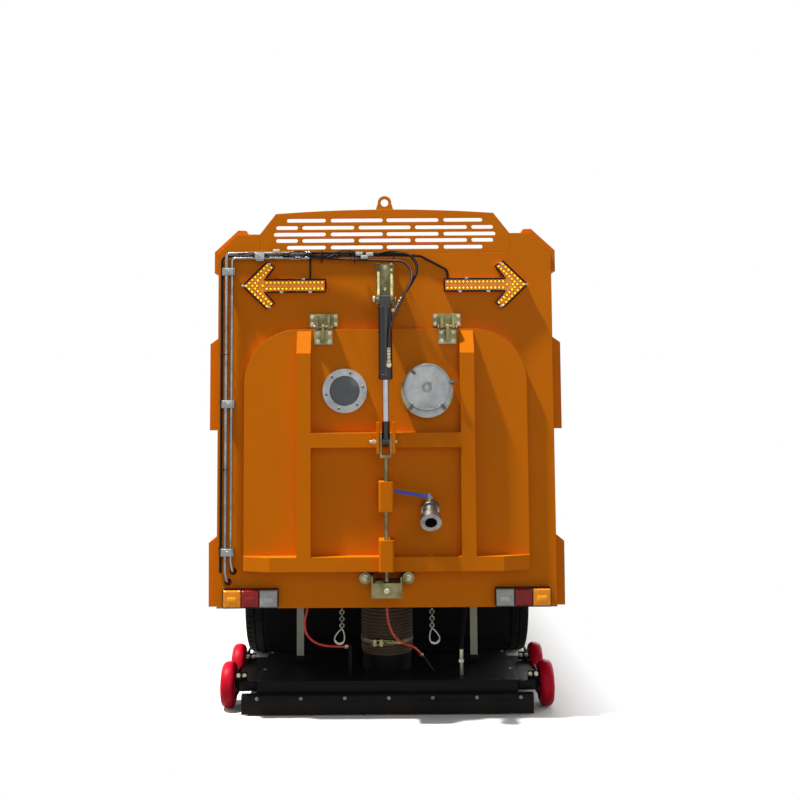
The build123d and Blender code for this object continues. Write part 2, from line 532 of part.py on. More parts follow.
# Ribbed suction hose from the head's collar to the floor
hose_bottom, hose_top_z = COLLAR_TOP - 50, FLOOR_Z
ribs = 14
pitch = (hose_top_z - hose_bottom) / ribs
outline = [(HOSE_R - 11.5, hose_bottom)]
for i in range(ribs):
    z = hose_bottom + i * pitch
    outline += [(HOSE_R - 5, z + 0.15 * pitch), (HOSE_R, z + 0.3 * pitch)]
    outline += [(HOSE_R, z + 0.6 * pitch), (HOSE_R - 5, z + 0.8 * pitch)]
outline += [(HOSE_R - 11.5, hose_top_z)]
hose = revolve(Plane.XZ * make_face(Polyline(*outline, close=True)), axis=Axis.Z, revolution_arc=360)
save("suction_hose", Pos(0, HOSE_Y, 0) * hose)

# Free hoses between the frame and the head: two air lines and a hydraulic hose
AIR_LEFT = [(-532, REAR + 200, 760), (-532, REAR + 200, 660), (-560, REAR + 204, 570), (-540, REAR + 208, 480),
            (-462, REAR + 212, 424), (-362, REAR + 214, 411), (-262.3, REAR + 214, 411)]
HYDRAULIC = [(526, REAR + 240, 760), (526, REAR + 240, 660), (520, REAR + 242, 560), (504, REAR + 248, 460),
             (500, REAR + 250, 400), (500, REAR + 250, 341.3)]
hose_along("air_hose_left", AIR_LEFT, 8)
hose_along("air_hose_middle", AIR_MIDDLE, 8)
hose_along("head_hydraulic_hose", HYDRAULIC, 9)

# Cab: a hollow shell, pillars left between its windows
# Side outline of the cab: along Y, height
CAB_OUT = [(CAB_REAR, CAB_FLOOR), (FRONT - 70, CAB_FLOOR), (FRONT - 70, 860), (FRONT - 20, 860), (FRONT - 20, 1560),
           (FRONT - 210, 2520), (FRONT - 420, 2700), (CAB_REAR + 120, 2740), (CAB_REAR, 2640)]
CAB_IN = [(CAB_REAR + CAB_WALL, CAB_FLOOR + CAB_WALL), (FRONT - 120, CAB_FLOOR + CAB_WALL), (FRONT - 75, 1560),
          (FRONT - 262, 2500), (FRONT - 445, 2650), (CAB_REAR + 140, 2690), (CAB_REAR + CAB_WALL, 2610)]
cab = prism("YZ", CAB_OUT, -CAB_X, CAB_X)
cab = fillet(cab.edges().filter_by(GeomType.LINE).filter_by(Axis.Z).group_by(Axis.Y)[-1], 40)
cab -= prism("YZ", CAB_IN, -CAB_X + CAB_WALL, CAB_X - CAB_WALL)
DOOR_LINE = [(DOOR_REAR_Y, 1110), (DOOR_FRONT_Y, 1110), (DOOR_FRONT_Y, 1640), (DOOR_FRONT_Y - 150, 2530),
             (DOOR_REAR_Y, 2560)]
DOOR_HOLE = [(DOOR_REAR_Y - DOOR_GAP, 1110 - DOOR_GAP), (DOOR_FRONT_Y + DOOR_GAP, 1110 - DOOR_GAP),
             (DOOR_FRONT_Y + DOOR_GAP, 1641), (DOOR_FRONT_Y - 149 + DOOR_GAP, 2530 + DOOR_GAP),
             (DOOR_REAR_Y - DOOR_GAP, 2560 + DOOR_GAP)]
cab -= prism("YZ", DOOR_HOLE, -CAB_X - 10, CAB_X + 10)
# Windscreen opening between the pillars, through the raked front, and a rear window
WS_LOW, WS_HIGH = 1620, 2440


def front_y(z):
    """Y of the raked windscreen plane at a height."""
    return FRONT - 20 - (z - 1560) * 190 / 960


cab -= prism("YZ", [(front_y(WS_LOW) - 120, WS_LOW), (front_y(WS_LOW) + 60, WS_LOW),
                    (front_y(WS_HIGH) + 60, WS_HIGH), (front_y(WS_HIGH) - 120, WS_HIGH)], -980, 980)
cab -= box(-700, 700, CAB_REAR - 10, CAB_REAR + CAB_WALL + 30, 1900, 2400)
# Quarter windows behind the doors
cab -= box(-CAB_X - 10, CAB_X + 10, CAB_REAR + 130, DOOR_REAR_Y - 90, 1850, 2400)
# Door hinges: pins on the shell, knuckles on the doors, at these heights
CAB_HINGES = (1210, 1540)
for z in CAB_HINGES:
    pin = rod("Z", 6, (CAB_HINGE_X, CAB_HINGE_Y, z - 14), 62)
    pin += box(CAB_X, CAB_HINGE_X + 6, CAB_HINGE_Y - 6, CAB_HINGE_Y + 24, z - 14, z - 4)
    cab += pin + mirrored(pin)
save("cab_shell", cab)

pane = prism("YZ", [(front_y(WS_LOW) - 22, WS_LOW), (front_y(WS_LOW) - 14, WS_LOW),
                    (front_y(WS_HIGH) - 14, WS_HIGH), (front_y(WS_HIGH) - 22, WS_HIGH)], -980, 980)
back = box(-700, 700, CAB_REAR + 18, CAB_REAR + 26, 1900, 2400)
quarter = box(CAB_X - 32, CAB_X - 24, CAB_REAR + 130, DOOR_REAR_Y - 90, 1850, 2400)
save("cab_glass", pane, back, quarter, mirrored(quarter))

# Doors with cut windows
WINDOW = [(DOOR_REAR_Y + 70, 1760), (DOOR_FRONT_Y - 90, 1760), (DOOR_FRONT_Y - 205, 2450), (DOOR_REAR_Y + 70, 2470)]
leaf = prism("YZ", DOOR_LINE, CAB_X - CAB_WALL, CAB_X) - prism("YZ", WINDOW, CAB_X - 100, CAB_X + 100)
leaf += box(CAB_X, CAB_X + 18, DOOR_REAR_Y + 60, DOOR_REAR_Y + 220, 1620, 1650)
for z in CAB_HINGES:
    leaf += box(CAB_X, CAB_X + 12, DOOR_FRONT_Y - 60, DOOR_FRONT_Y, z, z + 40)
    leaf += box(CAB_X + 3, CAB_HINGE_X, DOOR_FRONT_Y - 10, CAB_HINGE_Y, z, z + 40)
    leaf += rod("Z", 11, (CAB_HINGE_X, CAB_HINGE_Y, z), 40)
    leaf -= rod("Z", 6 + PIN_GAP, (CAB_HINGE_X, CAB_HINGE_Y, z - 5), 50)
glass = prism("YZ", WINDOW, CAB_X - 32, CAB_X - 26)
save("cab_door_right", leaf)
save("cab_door_left", mirrored(leaf))
save("door_glass_right", glass)
save("door_glass_left", mirrored(glass))

# Seats, dash and steering wheel
inside = []
for x0, x1 in ((-900, -380), (-280, 900)):
    seat = box(x0, x1, CAB_REAR + 260, CAB_REAR + 780, CAB_FLOOR + CAB_WALL, 1480)
    seat_back = [(CAB_REAR + 160, 1400), (CAB_REAR + 320, 1400), (CAB_REAR + 240, 2080),
                 (CAB_REAR + 120, 2080)]
    seat += prism("YZ", seat_back, x0, x1)
    inside.append(seat)
dash = prism("YZ", [(FRONT - 560, 1300), (FRONT - 130, 1300), (FRONT - 100, 1600), (FRONT - 480, 1600)], -1040, 1040)
dash += box(-1060, 1060, DOOR_FRONT_Y + 20, FRONT - 130, 1350, 1500)
inside.append(dash)
wheel_frame = Pos(-640, FRONT - 640, 1720) * Rot(-35, 0, 0)
steering = wheel_frame * (Torus(220, 16) + Cylinder(60, 30) + Box(430, 40, 14) + Pos(0, 0, -90) * Cylinder(26, 170))
save("cab_interior", *inside, steering)

# Bumper, steps, grille, lamps, mirrors and roof beacon
bumper = box(-CAB_X, CAB_X, FRONT - 160, FRONT, 430, 820)
bumper = fillet(bumper.edges().filter_by(Axis.Z).group_by(Axis.Y)[-1], 90)
for x0 in (-CAB_X, 780):
    bumper += box(x0, x0 + 330, FRONT_AXLE_Y + TYRE_R + 150, FRONT - 150, 450, 640)
    inner = x0 + (60 if x0 > 0 else 0)
    bumper += box(inner, inner + 270, FRONT_AXLE_Y + TYRE_R + 150, FRONT - 150, 640, 780)
bumper -= box(500, 900, FRONT - 40, FRONT + 10, 560, 740) + box(-900, -500, FRONT - 40, FRONT + 10, 560, 740)
save("front_bumper", bumper)
lamp = box(505, 895, FRONT - 40, FRONT - 6, 565, 735)
save("headlamps", lamp, mirrored(lamp))
bars = box(-640, 640, FRONT - 20, FRONT - 4, 1000, 1050)
for i in range(1, 6):
    bars += box(-640, 640, FRONT - 20, FRONT - 4, 1000 + i * 75, 1040 + i * 75)
for x in (-630, 0, 630):
    bars += box(x - 12, x + 12, FRONT - 20, FRONT - 8, 1000, 1400)
save("front_grille", bars)
mirror_set = []
for side in (-1, 1):
    glass_box = box(1160, 1330, FRONT - 215, FRONT - 165, 1720, 2180)
    arm = tube([(CAB_X - 4, FRONT - 190, 2300), (1245, FRONT - 190, 2300), (1245, FRONT - 190, 2170)], 12, 30)
    foot = tube([(CAB_X - 4, FRONT - 190, 1640), (1245, FRONT - 190, 1640), (1245, FRONT - 190, 1730)], 12, 30)
    one = glass_box + arm + foot
    one -= box(0, CAB_X, FRONT - 400, FRONT, 1500, 2500)
    mirror_set.append(one if side > 0 else mirrored(one))
save("mirrors", *mirror_set)


def roof_z(y):
    """Height of the sloping cab roof at a place along the vehicle."""
    return 2740 - (y - CAB_REAR - 120) * 40 / (FRONT - 420 - CAB_REAR - 120)


beacon = fillet(box(-620, 620, CAB_REAR + 500, CAB_REAR + 720, 2760, 2860).edges().filter_by(Axis.X), 25)
for x in (-500, 400):
    y0, y1 = CAB_REAR + 560, CAB_REAR + 660
    beacon += prism("YZ", [(y0, roof_z(y0)), (y1, roof_z(y1)), (y1, 2765), (y0, 2765)], x, x + 100)
save("beacon_bar", beacon)
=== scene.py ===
# %% [markdown]
# A vacuum street sweeper on a two-axle truck, seen from behind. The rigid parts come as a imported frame. They could
# all be modelled here again, but then looks and motion would part ways; so this file only dresses them: paint,
# plating, rubber, lamps and small parts. Every new shape is a surface worked out with numpy, in metres, in the
# frame's own axes.
# %% Load the frame and keep its box
import bpy, bmesh, math
import numpy as np
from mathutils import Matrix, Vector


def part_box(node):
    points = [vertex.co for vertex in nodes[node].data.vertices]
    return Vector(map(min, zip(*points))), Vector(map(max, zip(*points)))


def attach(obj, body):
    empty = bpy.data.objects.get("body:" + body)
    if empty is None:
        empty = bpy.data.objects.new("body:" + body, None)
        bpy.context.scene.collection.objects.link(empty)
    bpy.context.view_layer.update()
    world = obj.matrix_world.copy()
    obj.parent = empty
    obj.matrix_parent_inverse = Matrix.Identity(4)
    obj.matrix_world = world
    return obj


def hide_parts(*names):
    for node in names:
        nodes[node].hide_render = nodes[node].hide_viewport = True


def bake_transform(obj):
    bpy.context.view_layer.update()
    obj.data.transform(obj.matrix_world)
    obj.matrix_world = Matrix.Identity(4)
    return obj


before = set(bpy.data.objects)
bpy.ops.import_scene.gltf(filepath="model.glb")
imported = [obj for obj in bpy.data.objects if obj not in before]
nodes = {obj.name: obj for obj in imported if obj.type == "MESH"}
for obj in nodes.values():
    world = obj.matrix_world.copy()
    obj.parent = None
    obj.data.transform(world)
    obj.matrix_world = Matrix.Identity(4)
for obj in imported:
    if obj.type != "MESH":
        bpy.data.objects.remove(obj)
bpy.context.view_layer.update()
REAR = -3.555          # outer plane of the rear panel, along Y
FRONT = REAR + 7.39   # foremost plane of the cab
# %% [markdown]
# The camera stands seven metres behind the rear panel, above head height, and looks up by a few degrees. It could
# stand level, which would keep upright edges parallel; but in the photograph they lean together towards the roof,
# so the lens is tilted. A small shift keeps the vehicle where the picture has it.
# %% Camera
FOCAL_PX, PICTURE_PX = 1048, 800
SHIFT_PX = (14.4, -94.3)
LOOK_UP, ROLL = 4.6, 0.35   # degrees
camera = bpy.data.objects.new("camera", bpy.data.cameras.new("camera"))
bpy.context.scene.collection.objects.link(camera)
camera.data.sensor_width = 36
camera.data.lens = 36 * FOCAL_PX / PICTURE_PX
camera.data.shift_x, camera.data.shift_y = [s / PICTURE_PX for s in SHIFT_PX]
camera.location = (0, REAR - 7.0, 2.13)
camera.rotation_euler = (math.radians(90 + LOOK_UP), math.radians(ROLL), 0)
camera.data.clip_end = 200
bpy.context.scene.camera = camera
print("lens", round(camera.data.lens, 1), "mm")
# %% [markdown]
# Pressed steel, moulded rubber and drawn wire all have smooth skins. A skin could be built by hand from boxes and
# modifiers; here each is a grid of points given by a formula, which keeps every radius exact and every count of
# faces known. These helpers turn grids into closed meshes: points that fall together are merged, so that poles and
# seams close, and faces are turned outwards.
# %% Grids to meshes


def grid_faces(rows, cols, close_rows, close_cols, first=0):
    """Quads between neighbouring points of a rows by cols grid."""
    r = np.arange(rows if close_rows else rows - 1)
    c = np.arange(cols if close_cols else cols - 1)
    r, c = [a.ravel() for a in np.meshgrid(r, c, indexing="ij")]
    r2, c2 = (r + 1) % rows, (c + 1) % cols
    return first + np.stack([r * cols + c, r2 * cols + c, r2 * cols + c2, r * cols + c2], 1)


def piece(name, grids, material, body=None, smooth=True):
    """One mesh from grids of points, each (points, close rows, close columns)."""
    verts, faces, count = [], [], 0
    for points, close_rows, close_cols in grids:
        rows, cols = points.shape[:2]
        verts.append(points.reshape(-1, 3))
        faces.append(grid_faces(rows, cols, close_rows, close_cols, count))
        count += rows * cols
    mesh = bpy.data.meshes.new(name)
    mesh.from_pydata(np.concatenate(verts).tolist(), [], np.concatenate(faces).tolist())
    bm = bmesh.new()
    bm.from_mesh(mesh)
    bmesh.ops.remove_doubles(bm, verts=bm.verts, dist=1e-6)
    bmesh.ops.recalc_face_normals(bm, faces=bm.faces)
    bm.to_mesh(mesh)
    bm.free()
    if smooth:
        mesh.polygons.foreach_set("use_smooth", np.ones(len(mesh.polygons), bool))
        mesh.set_sharp_from_angle(angle=math.radians(40))
    mesh.materials.append(material)
    obj = bpy.data.objects.new(name, mesh)
    bpy.context.scene.collection.objects.link(obj)
    if body:
        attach(obj, body)
    print(name, len(mesh.polygons), "faces")
    return obj


def basis(direction):
    """Three unit vectors, the last along direction."""
    w = np.array(direction, float)
    w /= np.linalg.norm(w)
    u = np.cross([0, 0, 1] if abs(w[2]) < 0.9 else [1, 0, 0], w)
    u /= np.linalg.norm(u)
    return u, np.cross(w, u), w


def turned(profile, at, axis, sides=24):
    """A profile of (distance along the axis, radius) points, turned round an axis through at."""
    u, v, w = basis(axis)
    a = np.linspace(0, 2 * np.pi, sides, endpoint=False)[:, None, None]
    h = np.array(profile, float)
    ring = np.cos(a) * u + np.sin(a) * v
    return np.array(at, float) + ring * h[None, :, 1:2] + w * h[None, :, 0:1], True, False


def block(low, high, r=0.004, corner=3):
    """A box with rounded edges: a rounded rectangle carried up, drawn in by a quarter circle at both ends."""
    low, high = np.minimum(low, high).astype(float), np.maximum(low, high).astype(float)
    r = min(r, (high - low).min() * 0.49)
    mid, half = (low + high) / 2, (high - low) / 2
    q = np.linspace(0, np.pi / 2, corner + 1)
    quarter = (np.arange(4)[:, None] * np.pi / 2 + q[None]).ravel()
    sx = np.repeat([1, -1, -1, 1], corner + 1)
    sy = np.repeat([1, 1, -1, -1], corner + 1)
    lift = np.concatenate([[-np.pi / 2], np.linspace(-np.pi / 2, 0, corner + 1), q, [np.pi / 2]])
    inset = r * np.cos(lift)
    x = sx * (half[0] - r) + inset[:, None] * np.cos(quarter)
    y = sy * (half[1] - r) + inset[:, None] * np.sin(quarter)
    z = np.where(lift < 0, -half[2] + r, half[2] - r) + r * np.sin(lift)
    z[len(z) // 2 - 1] = -half[2] + r
    z = np.repeat(z[:, None], x.shape[1], 1)
    x[0] = x[-1] = 0
    y[0] = y[-1] = 0
    return mid + np.stack([x, y, z], 2), False, True


def along(path, r, sides=10, closed=False):
    """A round section carried along points, its frame turned as little as possible."""
    p = np.array(path, float)
    t = np.roll(p, -1, 0) - np.roll(p, 1, 0) if closed else np.gradient(p, axis=0)
    t /= np.linalg.norm(t, axis=1)[:, None]
    u = basis(t[0])[0]
    rings = []
    a = np.linspace(0, 2 * np.pi, sides, endpoint=False)[:, None]
    radius = np.broadcast_to(r, len(p))
    for i in range(len(p)):
        u = u - t[i] * (u @ t[i])
        u /= np.linalg.norm(u)
        rings.append(p[i] + radius[i] * (np.cos(a) * u + np.sin(a) * np.cross(t[i], u)))
    if not closed:
        rings = [np.repeat(p[:1], sides, 0)] + rings + [np.repeat(p[-1:], sides, 0)]
    return np.array(rings), closed, True


def bolt(at, direction, size=0.008, washer=True):
    """A hexagon head on a round washer, standing on a face."""
    s = size
    head = turned([(0, 0), (0, s), (0.55 * s, s), (0.7 * s, 0.82 * s), (0.7 * s, 0)], at, direction, 6)
    if not washer:
        return [head]
    ring = turned([(-0.1 * s, 1.5 * s), (0.16 * s, 1.5 * s), (0.2 * s, 1.42 * s), (0.2 * s, 0)], at, direction, 14)
    return [head, ring]


def bolts(spots, direction, size=0.008, washer=True):
    """Equal bolts at many places."""
    return [grid for at in spots for grid in bolt(at, direction, size, washer)]


# directions: BACK stands out of the rear panel, AHEAD out of the cab's front
BACK, AHEAD, LEFT, RIGHT, UP = (0, -1, 0), (0, 1, 0), (-1, 0, 0), (1, 0, 0), (0, 0, 1)
print("helpers ready")
# %% [markdown]
# Paint on a working vehicle is never one colour: it has clouds from the spray gun, a fine skin like orange peel,
# dust low down and edges that look round. That could be drawn as pictures, one for each part; noise in object
# coordinates does it without pictures and goes on over any part. Colours are written in hexadecimal, as they are
# mixed, and turned into the linear values that light works in.
# %% Finish recipe


def linear(code):
    """Hexadecimal colour to linear red, green, blue."""
    c = np.array([int(code[i:i + 2], 16) / 255 for i in (0, 2, 4)])
    return [*np.where(c <= 0.04045, c / 12.92, ((c + 0.055) / 1.055) ** 2.4), 1.0]


class Sheet:
    """A small notebook of shader nodes for one material."""

    def __init__(self, name):
        self.mat = bpy.data.materials.new(name)
        self.mat.use_nodes = True
        self.tree = self.mat.node_tree
        self.shader = self.tree.nodes["Principled BSDF"]
        self.place = self.node("ShaderNodeTexCoord").outputs["Object"]

    def node(self, kind, **values):
        n = self.tree.nodes.new(kind)
        for key, value in values.items():
            if key in n.inputs:
                self.put(n.inputs[key], value)
            else:
                setattr(n, key, value)
        return n

    def put(self, socket, value):
        if isinstance(value, bpy.types.NodeSocket):
            self.tree.links.new(value, socket)
        else:
            socket.default_value = value

    def noise(self, scale, detail=4.0, stretch=(1, 1, 1)):
        m = self.node("ShaderNodeMapping", Vector=self.place, Scale=stretch)
        n = self.node("ShaderNodeTexNoise", Vector=m.outputs[0], Scale=scale, Detail=detail, Roughness=0.55)
        return n.outputs[0]

    def band(self, value, low, high, out_low=0.0, out_high=1.0):
        n = self.node("ShaderNodeMapRange", Value=value)
        for key, v in (("From Min", low), ("From Max", high), ("To Min", out_low), ("To Max", out_high)):
            n.inputs[key].default_value = v
        return n.outputs[0]

    def maths(self, kind, a, b=0.5):
        n = self.node("ShaderNodeMath", operation=kind)
        self.put(n.inputs[0], a)
        self.put(n.inputs[1], b)
        return n.outputs[0]

    def mix(self, share, a, b):
        n = self.node("ShaderNodeMix", data_type="RGBA")
        self.put(n.inputs[0], share)
        self.put(n.inputs[6], a)
        self.put(n.inputs[7], b)
        return n.outputs[2]

    def bump(self, height, strength=0.2, distance=0.001, normal=None):
        n = self.node("ShaderNodeBump", Height=height, Strength=strength, Distance=distance)
        if normal is not None:
            self.put(n.inputs["Normal"], normal)
        return n.outputs[0]

    def axis(self, which):
        return self.node("ShaderNodeSeparateXYZ", Vector=self.place).outputs[which]

    def end(self, color, rough, normal=None, **fixed):
        self.put(self.shader.inputs["Base Color"], color)
        self.put(self.shader.inputs["Roughness"], rough)
        if normal is not None:
            self.put(self.shader.inputs["Normal"], normal)
        for key, value in fixed.items():
            self.shader.inputs[key.replace("_", " ")].default_value = value
        return self.mat


def coated(name, code, rough=0.35, dust=0.5, dust_top=1.3, grain=700, dirt="8a7452", vary=0.12, edge=0.0, **fixed):
    """Any painted, plated or moulded finish, with stains, dust that gathers low down, and edges that look rounded."""
    s = Sheet(name)
    base = linear(code)
    dark = [c * (1 - vary) for c in base[:3]] + [1]
    tone = s.mix(s.band(s.noise(2.3, 5), 0.35, 0.7), dark, base)
    specks = s.band(s.noise(34, 6), 0.56, 0.72)
    low = s.band(s.axis("Z"), dust_top, 0.1)
    film = s.maths("MULTIPLY", s.maths("MULTIPLY", low, s.band(s.noise(5.5, 6), 0.25, 0.75)), dust)
    film = s.maths("ADD", film, s.maths("MULTIPLY", specks, 0.06 * dust))
    color = s.mix(film, tone, linear(dirt))
    sheen = s.band(s.noise(9, 3), 0.3, 0.7, rough - 0.05, rough + 0.07)
    gloss = s.maths("ADD", sheen, s.maths("MULTIPLY", film, 0.4))
    rounded = s.node("ShaderNodeBevel", samples=4, Radius=edge).outputs[0] if edge else None
    skin = s.bump(s.noise(grain, 2), 0.12, 0.0006, rounded)
    return s.end(color, gloss, skin, **fixed)


def streaked_metal(name, code, code2, rough, scale=4.0, stretch=(1, 1, 1), metal=1.0, grain=900):
    """Bare or plated metal: two tones in soft clouds and a fine brushed or cast bump."""
    s = Sheet(name)
    cloud = s.band(s.noise(scale, 5), 0.3, 0.7)
    color = s.mix(cloud, linear(code), linear(code2))
    gloss = s.band(s.noise(scale * 6, 4), 0.3, 0.7, rough - 0.06, rough + 0.1)
    skin = s.bump(s.noise(grain, 3, stretch), 0.18, 0.0005)
    return s.end(color, gloss, skin, Metallic=metal)


print("recipes ready")
# %% [markdown]
# The body is a deep orange two-pack paint. Small ironwork is zinc-plated and passivated to a greenish straw colour,
# the frame and the suction head are black, and the head's wheels are red. Each finish could have nodes of its own;
# they are calls of one recipe instead, so that dust and stains agree from part to part. The blacks reflect little,
# as the pale surroundings would turn them grey.
# %% Finishes
def black(name, code, rough, dust, top, grain, level, vary=0.2, **more):
    """A black finish with grey dust and a set level of reflection."""
    return coated(name, code, rough, dust, top, grain, vary=vary, dirt="3a342c", Specular_IOR_Level=level, **more)


orange = coated("body_paint", "d27200", 0.42, 0.16, 1.15, 500, vary=0.06, dirt="7a4a12", edge=0.007,
                Specular_IOR_Level=0.08)
zinc = streaked_metal("passivated_zinc", "57533a", "938b63", 0.42, 13)
zinc_bright = streaked_metal("bright_zinc", "8e8a74", "bdb9a2", 0.32, 16)
silver_steel = streaked_metal("drawn_steel_pipe", "6c6f71", "9b9ea0", 0.28, 14, (1, 1, 0.05))
stainless = streaked_metal("cast_stainless", "6c6b67", "94928c", 0.34, 22, grain=1400)
aluminium = streaked_metal("turned_aluminium", "7a7c7d", "9ea0a0", 0.4, 8)
dark_steel = streaked_metal("raw_steel", "4b4a47", "75726b", 0.5, 18)
chrome = streaked_metal("hard_chrome", "989b9e", "b3b6b9", 0.08, 6)
chain_zinc = streaked_metal("chain_zinc", "5a574d", "827d6c", 0.4, 30)
brass = streaked_metal("yellow_stub", "b86c10", "d08a1c", 0.4, 12, metal=0.2)
chassis_black = black("chassis_paint", "0d0e10", 0.55, 0.2, 1.3, 300, 0.06, vary=0.25)
head_black = black("head_paint", "0d0e10", 0.45, 0.1, 0.9, 260, 0.07, vary=0.25, edge=0.003)
rubber = black("hose_rubber", "0f0f10", 0.5, 0.15, 1.0, 240, 0.15)
# black rubber of the head's real flap, and also the black of mud_flap, a plain sheet behind the rear tyres that
# stands in for the deep shade under the body: painted shade
flap_rubber = black("flap_rubber", "0e0f12", 0.6, 0.25, 0.12, 180, 0.1)
sleeve = black("woven_sleeve", "0c0c0d", 0.8, 0.2, 0.8, 1500, 0.08, vary=0.35)
black_trim = black("black_trim", "0a0b0c", 0.45, 0.15, 1.0, 300, 0.15, vary=0.12)
black_gloss = coated("black_enamel", "0e0f11", 0.28, 0.25, 1.2, 400)
tyre_rubber = coated("tyre_rubber", "0f0f11", 0.75, 0.25, 1.0, 160, vary=0.2, dirt="4a443c", Specular_IOR_Level=0.1)
hose_rib = coated("ribbed_hose", "54473a", 0.5, 0.2, 1.1, 200, vary=0.3, dirt="5a4a3a", Specular_IOR_Level=0.15)
stripe = coated("hose_stripe", "5e2620", 0.55, 0.1, 0.8, 500, vary=0.4)
red_air = coated("red_air_line", "cc2c08", 0.4, 0.12, 0.8, 300)
red_wheel = coated("red_wheel_rubber", "c00428", 0.42, 0.16, 0.28, 320, vary=0.1, dirt="5a3a30",
                   Specular_IOR_Level=0.12)
rim_silver = coated("rim_silver", "a9abad", 0.36, 0.6, 0.9, 500, vary=0.1, Metallic=0.6)
grained_plastic = coated("grained_plastic", "1d1f22", 0.5, 0.45, 1.0, 180)
tank_paint = coated("tank_paint", "2a2c2f", 0.4, 0.7, 1.0, 300)
casting = coated("engine_casting", "55585a", 0.55, 0.7, 1.2, 200, vary=0.25)
blue_grip = coated("blue_grip", "2547b8", 0.4, 0.15, 1.0, 300)
trim = coated("woven_trim", "33353a", 0.8, 0.1, 0.5, 420, vary=0.3)
pale_bar = coated("pale_bar", "b4b8a6", 0.45, 0.2, 0.9, 260)
pale_plastic = coated("pale_plastic", "c9c9c4", 0.45, 0.1, 1.0, 300)


def lens(name, code, rough=0.12, glow=0.0, clear=0.25):
    """Moulded lamp plastic, a little clear, with faint prisms in the bump."""
    s = Sheet(name)
    lit = [min(1, c * 1.25) for c in linear(code)[:3]] + [1]
    tone = s.mix(s.band(s.noise(30, 3), 0.35, 0.7), linear(code), lit)
    wave = s.node("ShaderNodeTexWave", Vector=s.place, Scale=90.0, Distortion=0.0)
    skin = s.bump(wave.outputs[1], 0.15, 0.0008)
    if glow:
        s.shader.inputs["Emission Color"].default_value = linear(code)
        s.shader.inputs["Emission Strength"].default_value = glow
    return s.end(tone, rough, skin, Transmission_Weight=clear, Coat_Weight=0.1, Coat_Roughness=0.05,
                 Specular_IOR_Level=0.15)


def window(name, code, alpha):
    """Tinted glass: mostly reflection, with a little dust in its roughness."""
    s = Sheet(name)
    film = s.band(s.noise(6, 5), 0.3, 0.8, 0.03, 0.12)
    tone = s.mix(s.band(s.noise(3, 2), 0.3, 0.7), linear(code), [c * 0.8 for c in linear(code)[:3]] + [1])
    return s.end(tone, film, None, Alpha=alpha, Coat_Weight=0.6, Coat_Roughness=0.02)


amber = lens("amber_lens", "e88c00", glow=0.2)
amber_led = lens("amber_diode", "ffc81e", 0.1, 0.9, 0.0)
amber_bulb = lens("amber_bulb", "e89a10", 0.2, 0.15, 0.1)
amber_dark = lens("amber_reflector", "a8600a", 0.3, 0.0, 0.0)
red_lens = lens("red_lens", "a00812")
clear_lens = lens("clear_lens", "d9dcdc", 0.1, 0.0, 0.5)
cab_window = window("cab_window", "1c242b", 0.55)
port_glass = window("port_glass", "38434d", 0.92)
print("finishes", len(bpy.data.materials))
# %% [markdown]
# Each solid part leaves the works in one finish. It could be set part by part as they are dressed below; one list
# was chosen, as it shows at a glance what is painted, plated or moulded.
# %% Give the CAD nodes their finishes
FINISHES = {
    orange: "body_sides body_floor body_roof body_bulkheads rear_panel roof_fascia rear_door cab_shell "
            "cab_door_left cab_door_right",
    black_trim: "tail_lamps front_grille lamp_cable", zinc: "door_ironwork panel_ironwork",
    silver_steel: "hydraulic_pipes", stainless: "drain_valve", aluminium: "door_ports",
    chassis_black: "chassis_frame front_axle rear_axle leaf_springs knuckle_left knuckle_right",
    head_black: "suction_head",
    casting: "engine_block", tank_paint: "chassis_tanks", black_gloss: "cylinder_barrel mirrors",
    chrome: "cylinder_rod", chain_zinc: "tow_chains", grained_plastic: "front_bumper",
    amber: "arrow_lamps beacon_bar", clear_lens: "headlamps", port_glass: "sight_glass",
    cab_window: "cab_glass door_glass_left door_glass_right", trim: "cab_interior",
    # rubber_flap is the head's real flap; mud_flap is a black sheet set where there is only shade under the body,
    # painted shade
    flap_rubber: "rubber_flap mud_flap", hose_rib: "suction_hose",
    rim_silver: "rim_front_left rim_front_right rims_rear_left rims_rear_right",
    tyre_rubber: "tyre_front_left tyre_front_right tyres_rear_left tyres_rear_right",
    red_wheel: "head_wheel_front_left head_wheel_front_right head_wheel_rear_left head_wheel_rear_right",
}
for finish, names in FINISHES.items():
    for name in names.split():
        node = nodes[name]
        if not node.material_slots:
            node.data.materials.append(finish)
        for slot in node.material_slots:
            slot.material = finish
print("nodes finished", sum(len(v.split()) for v in FINISHES.values()))
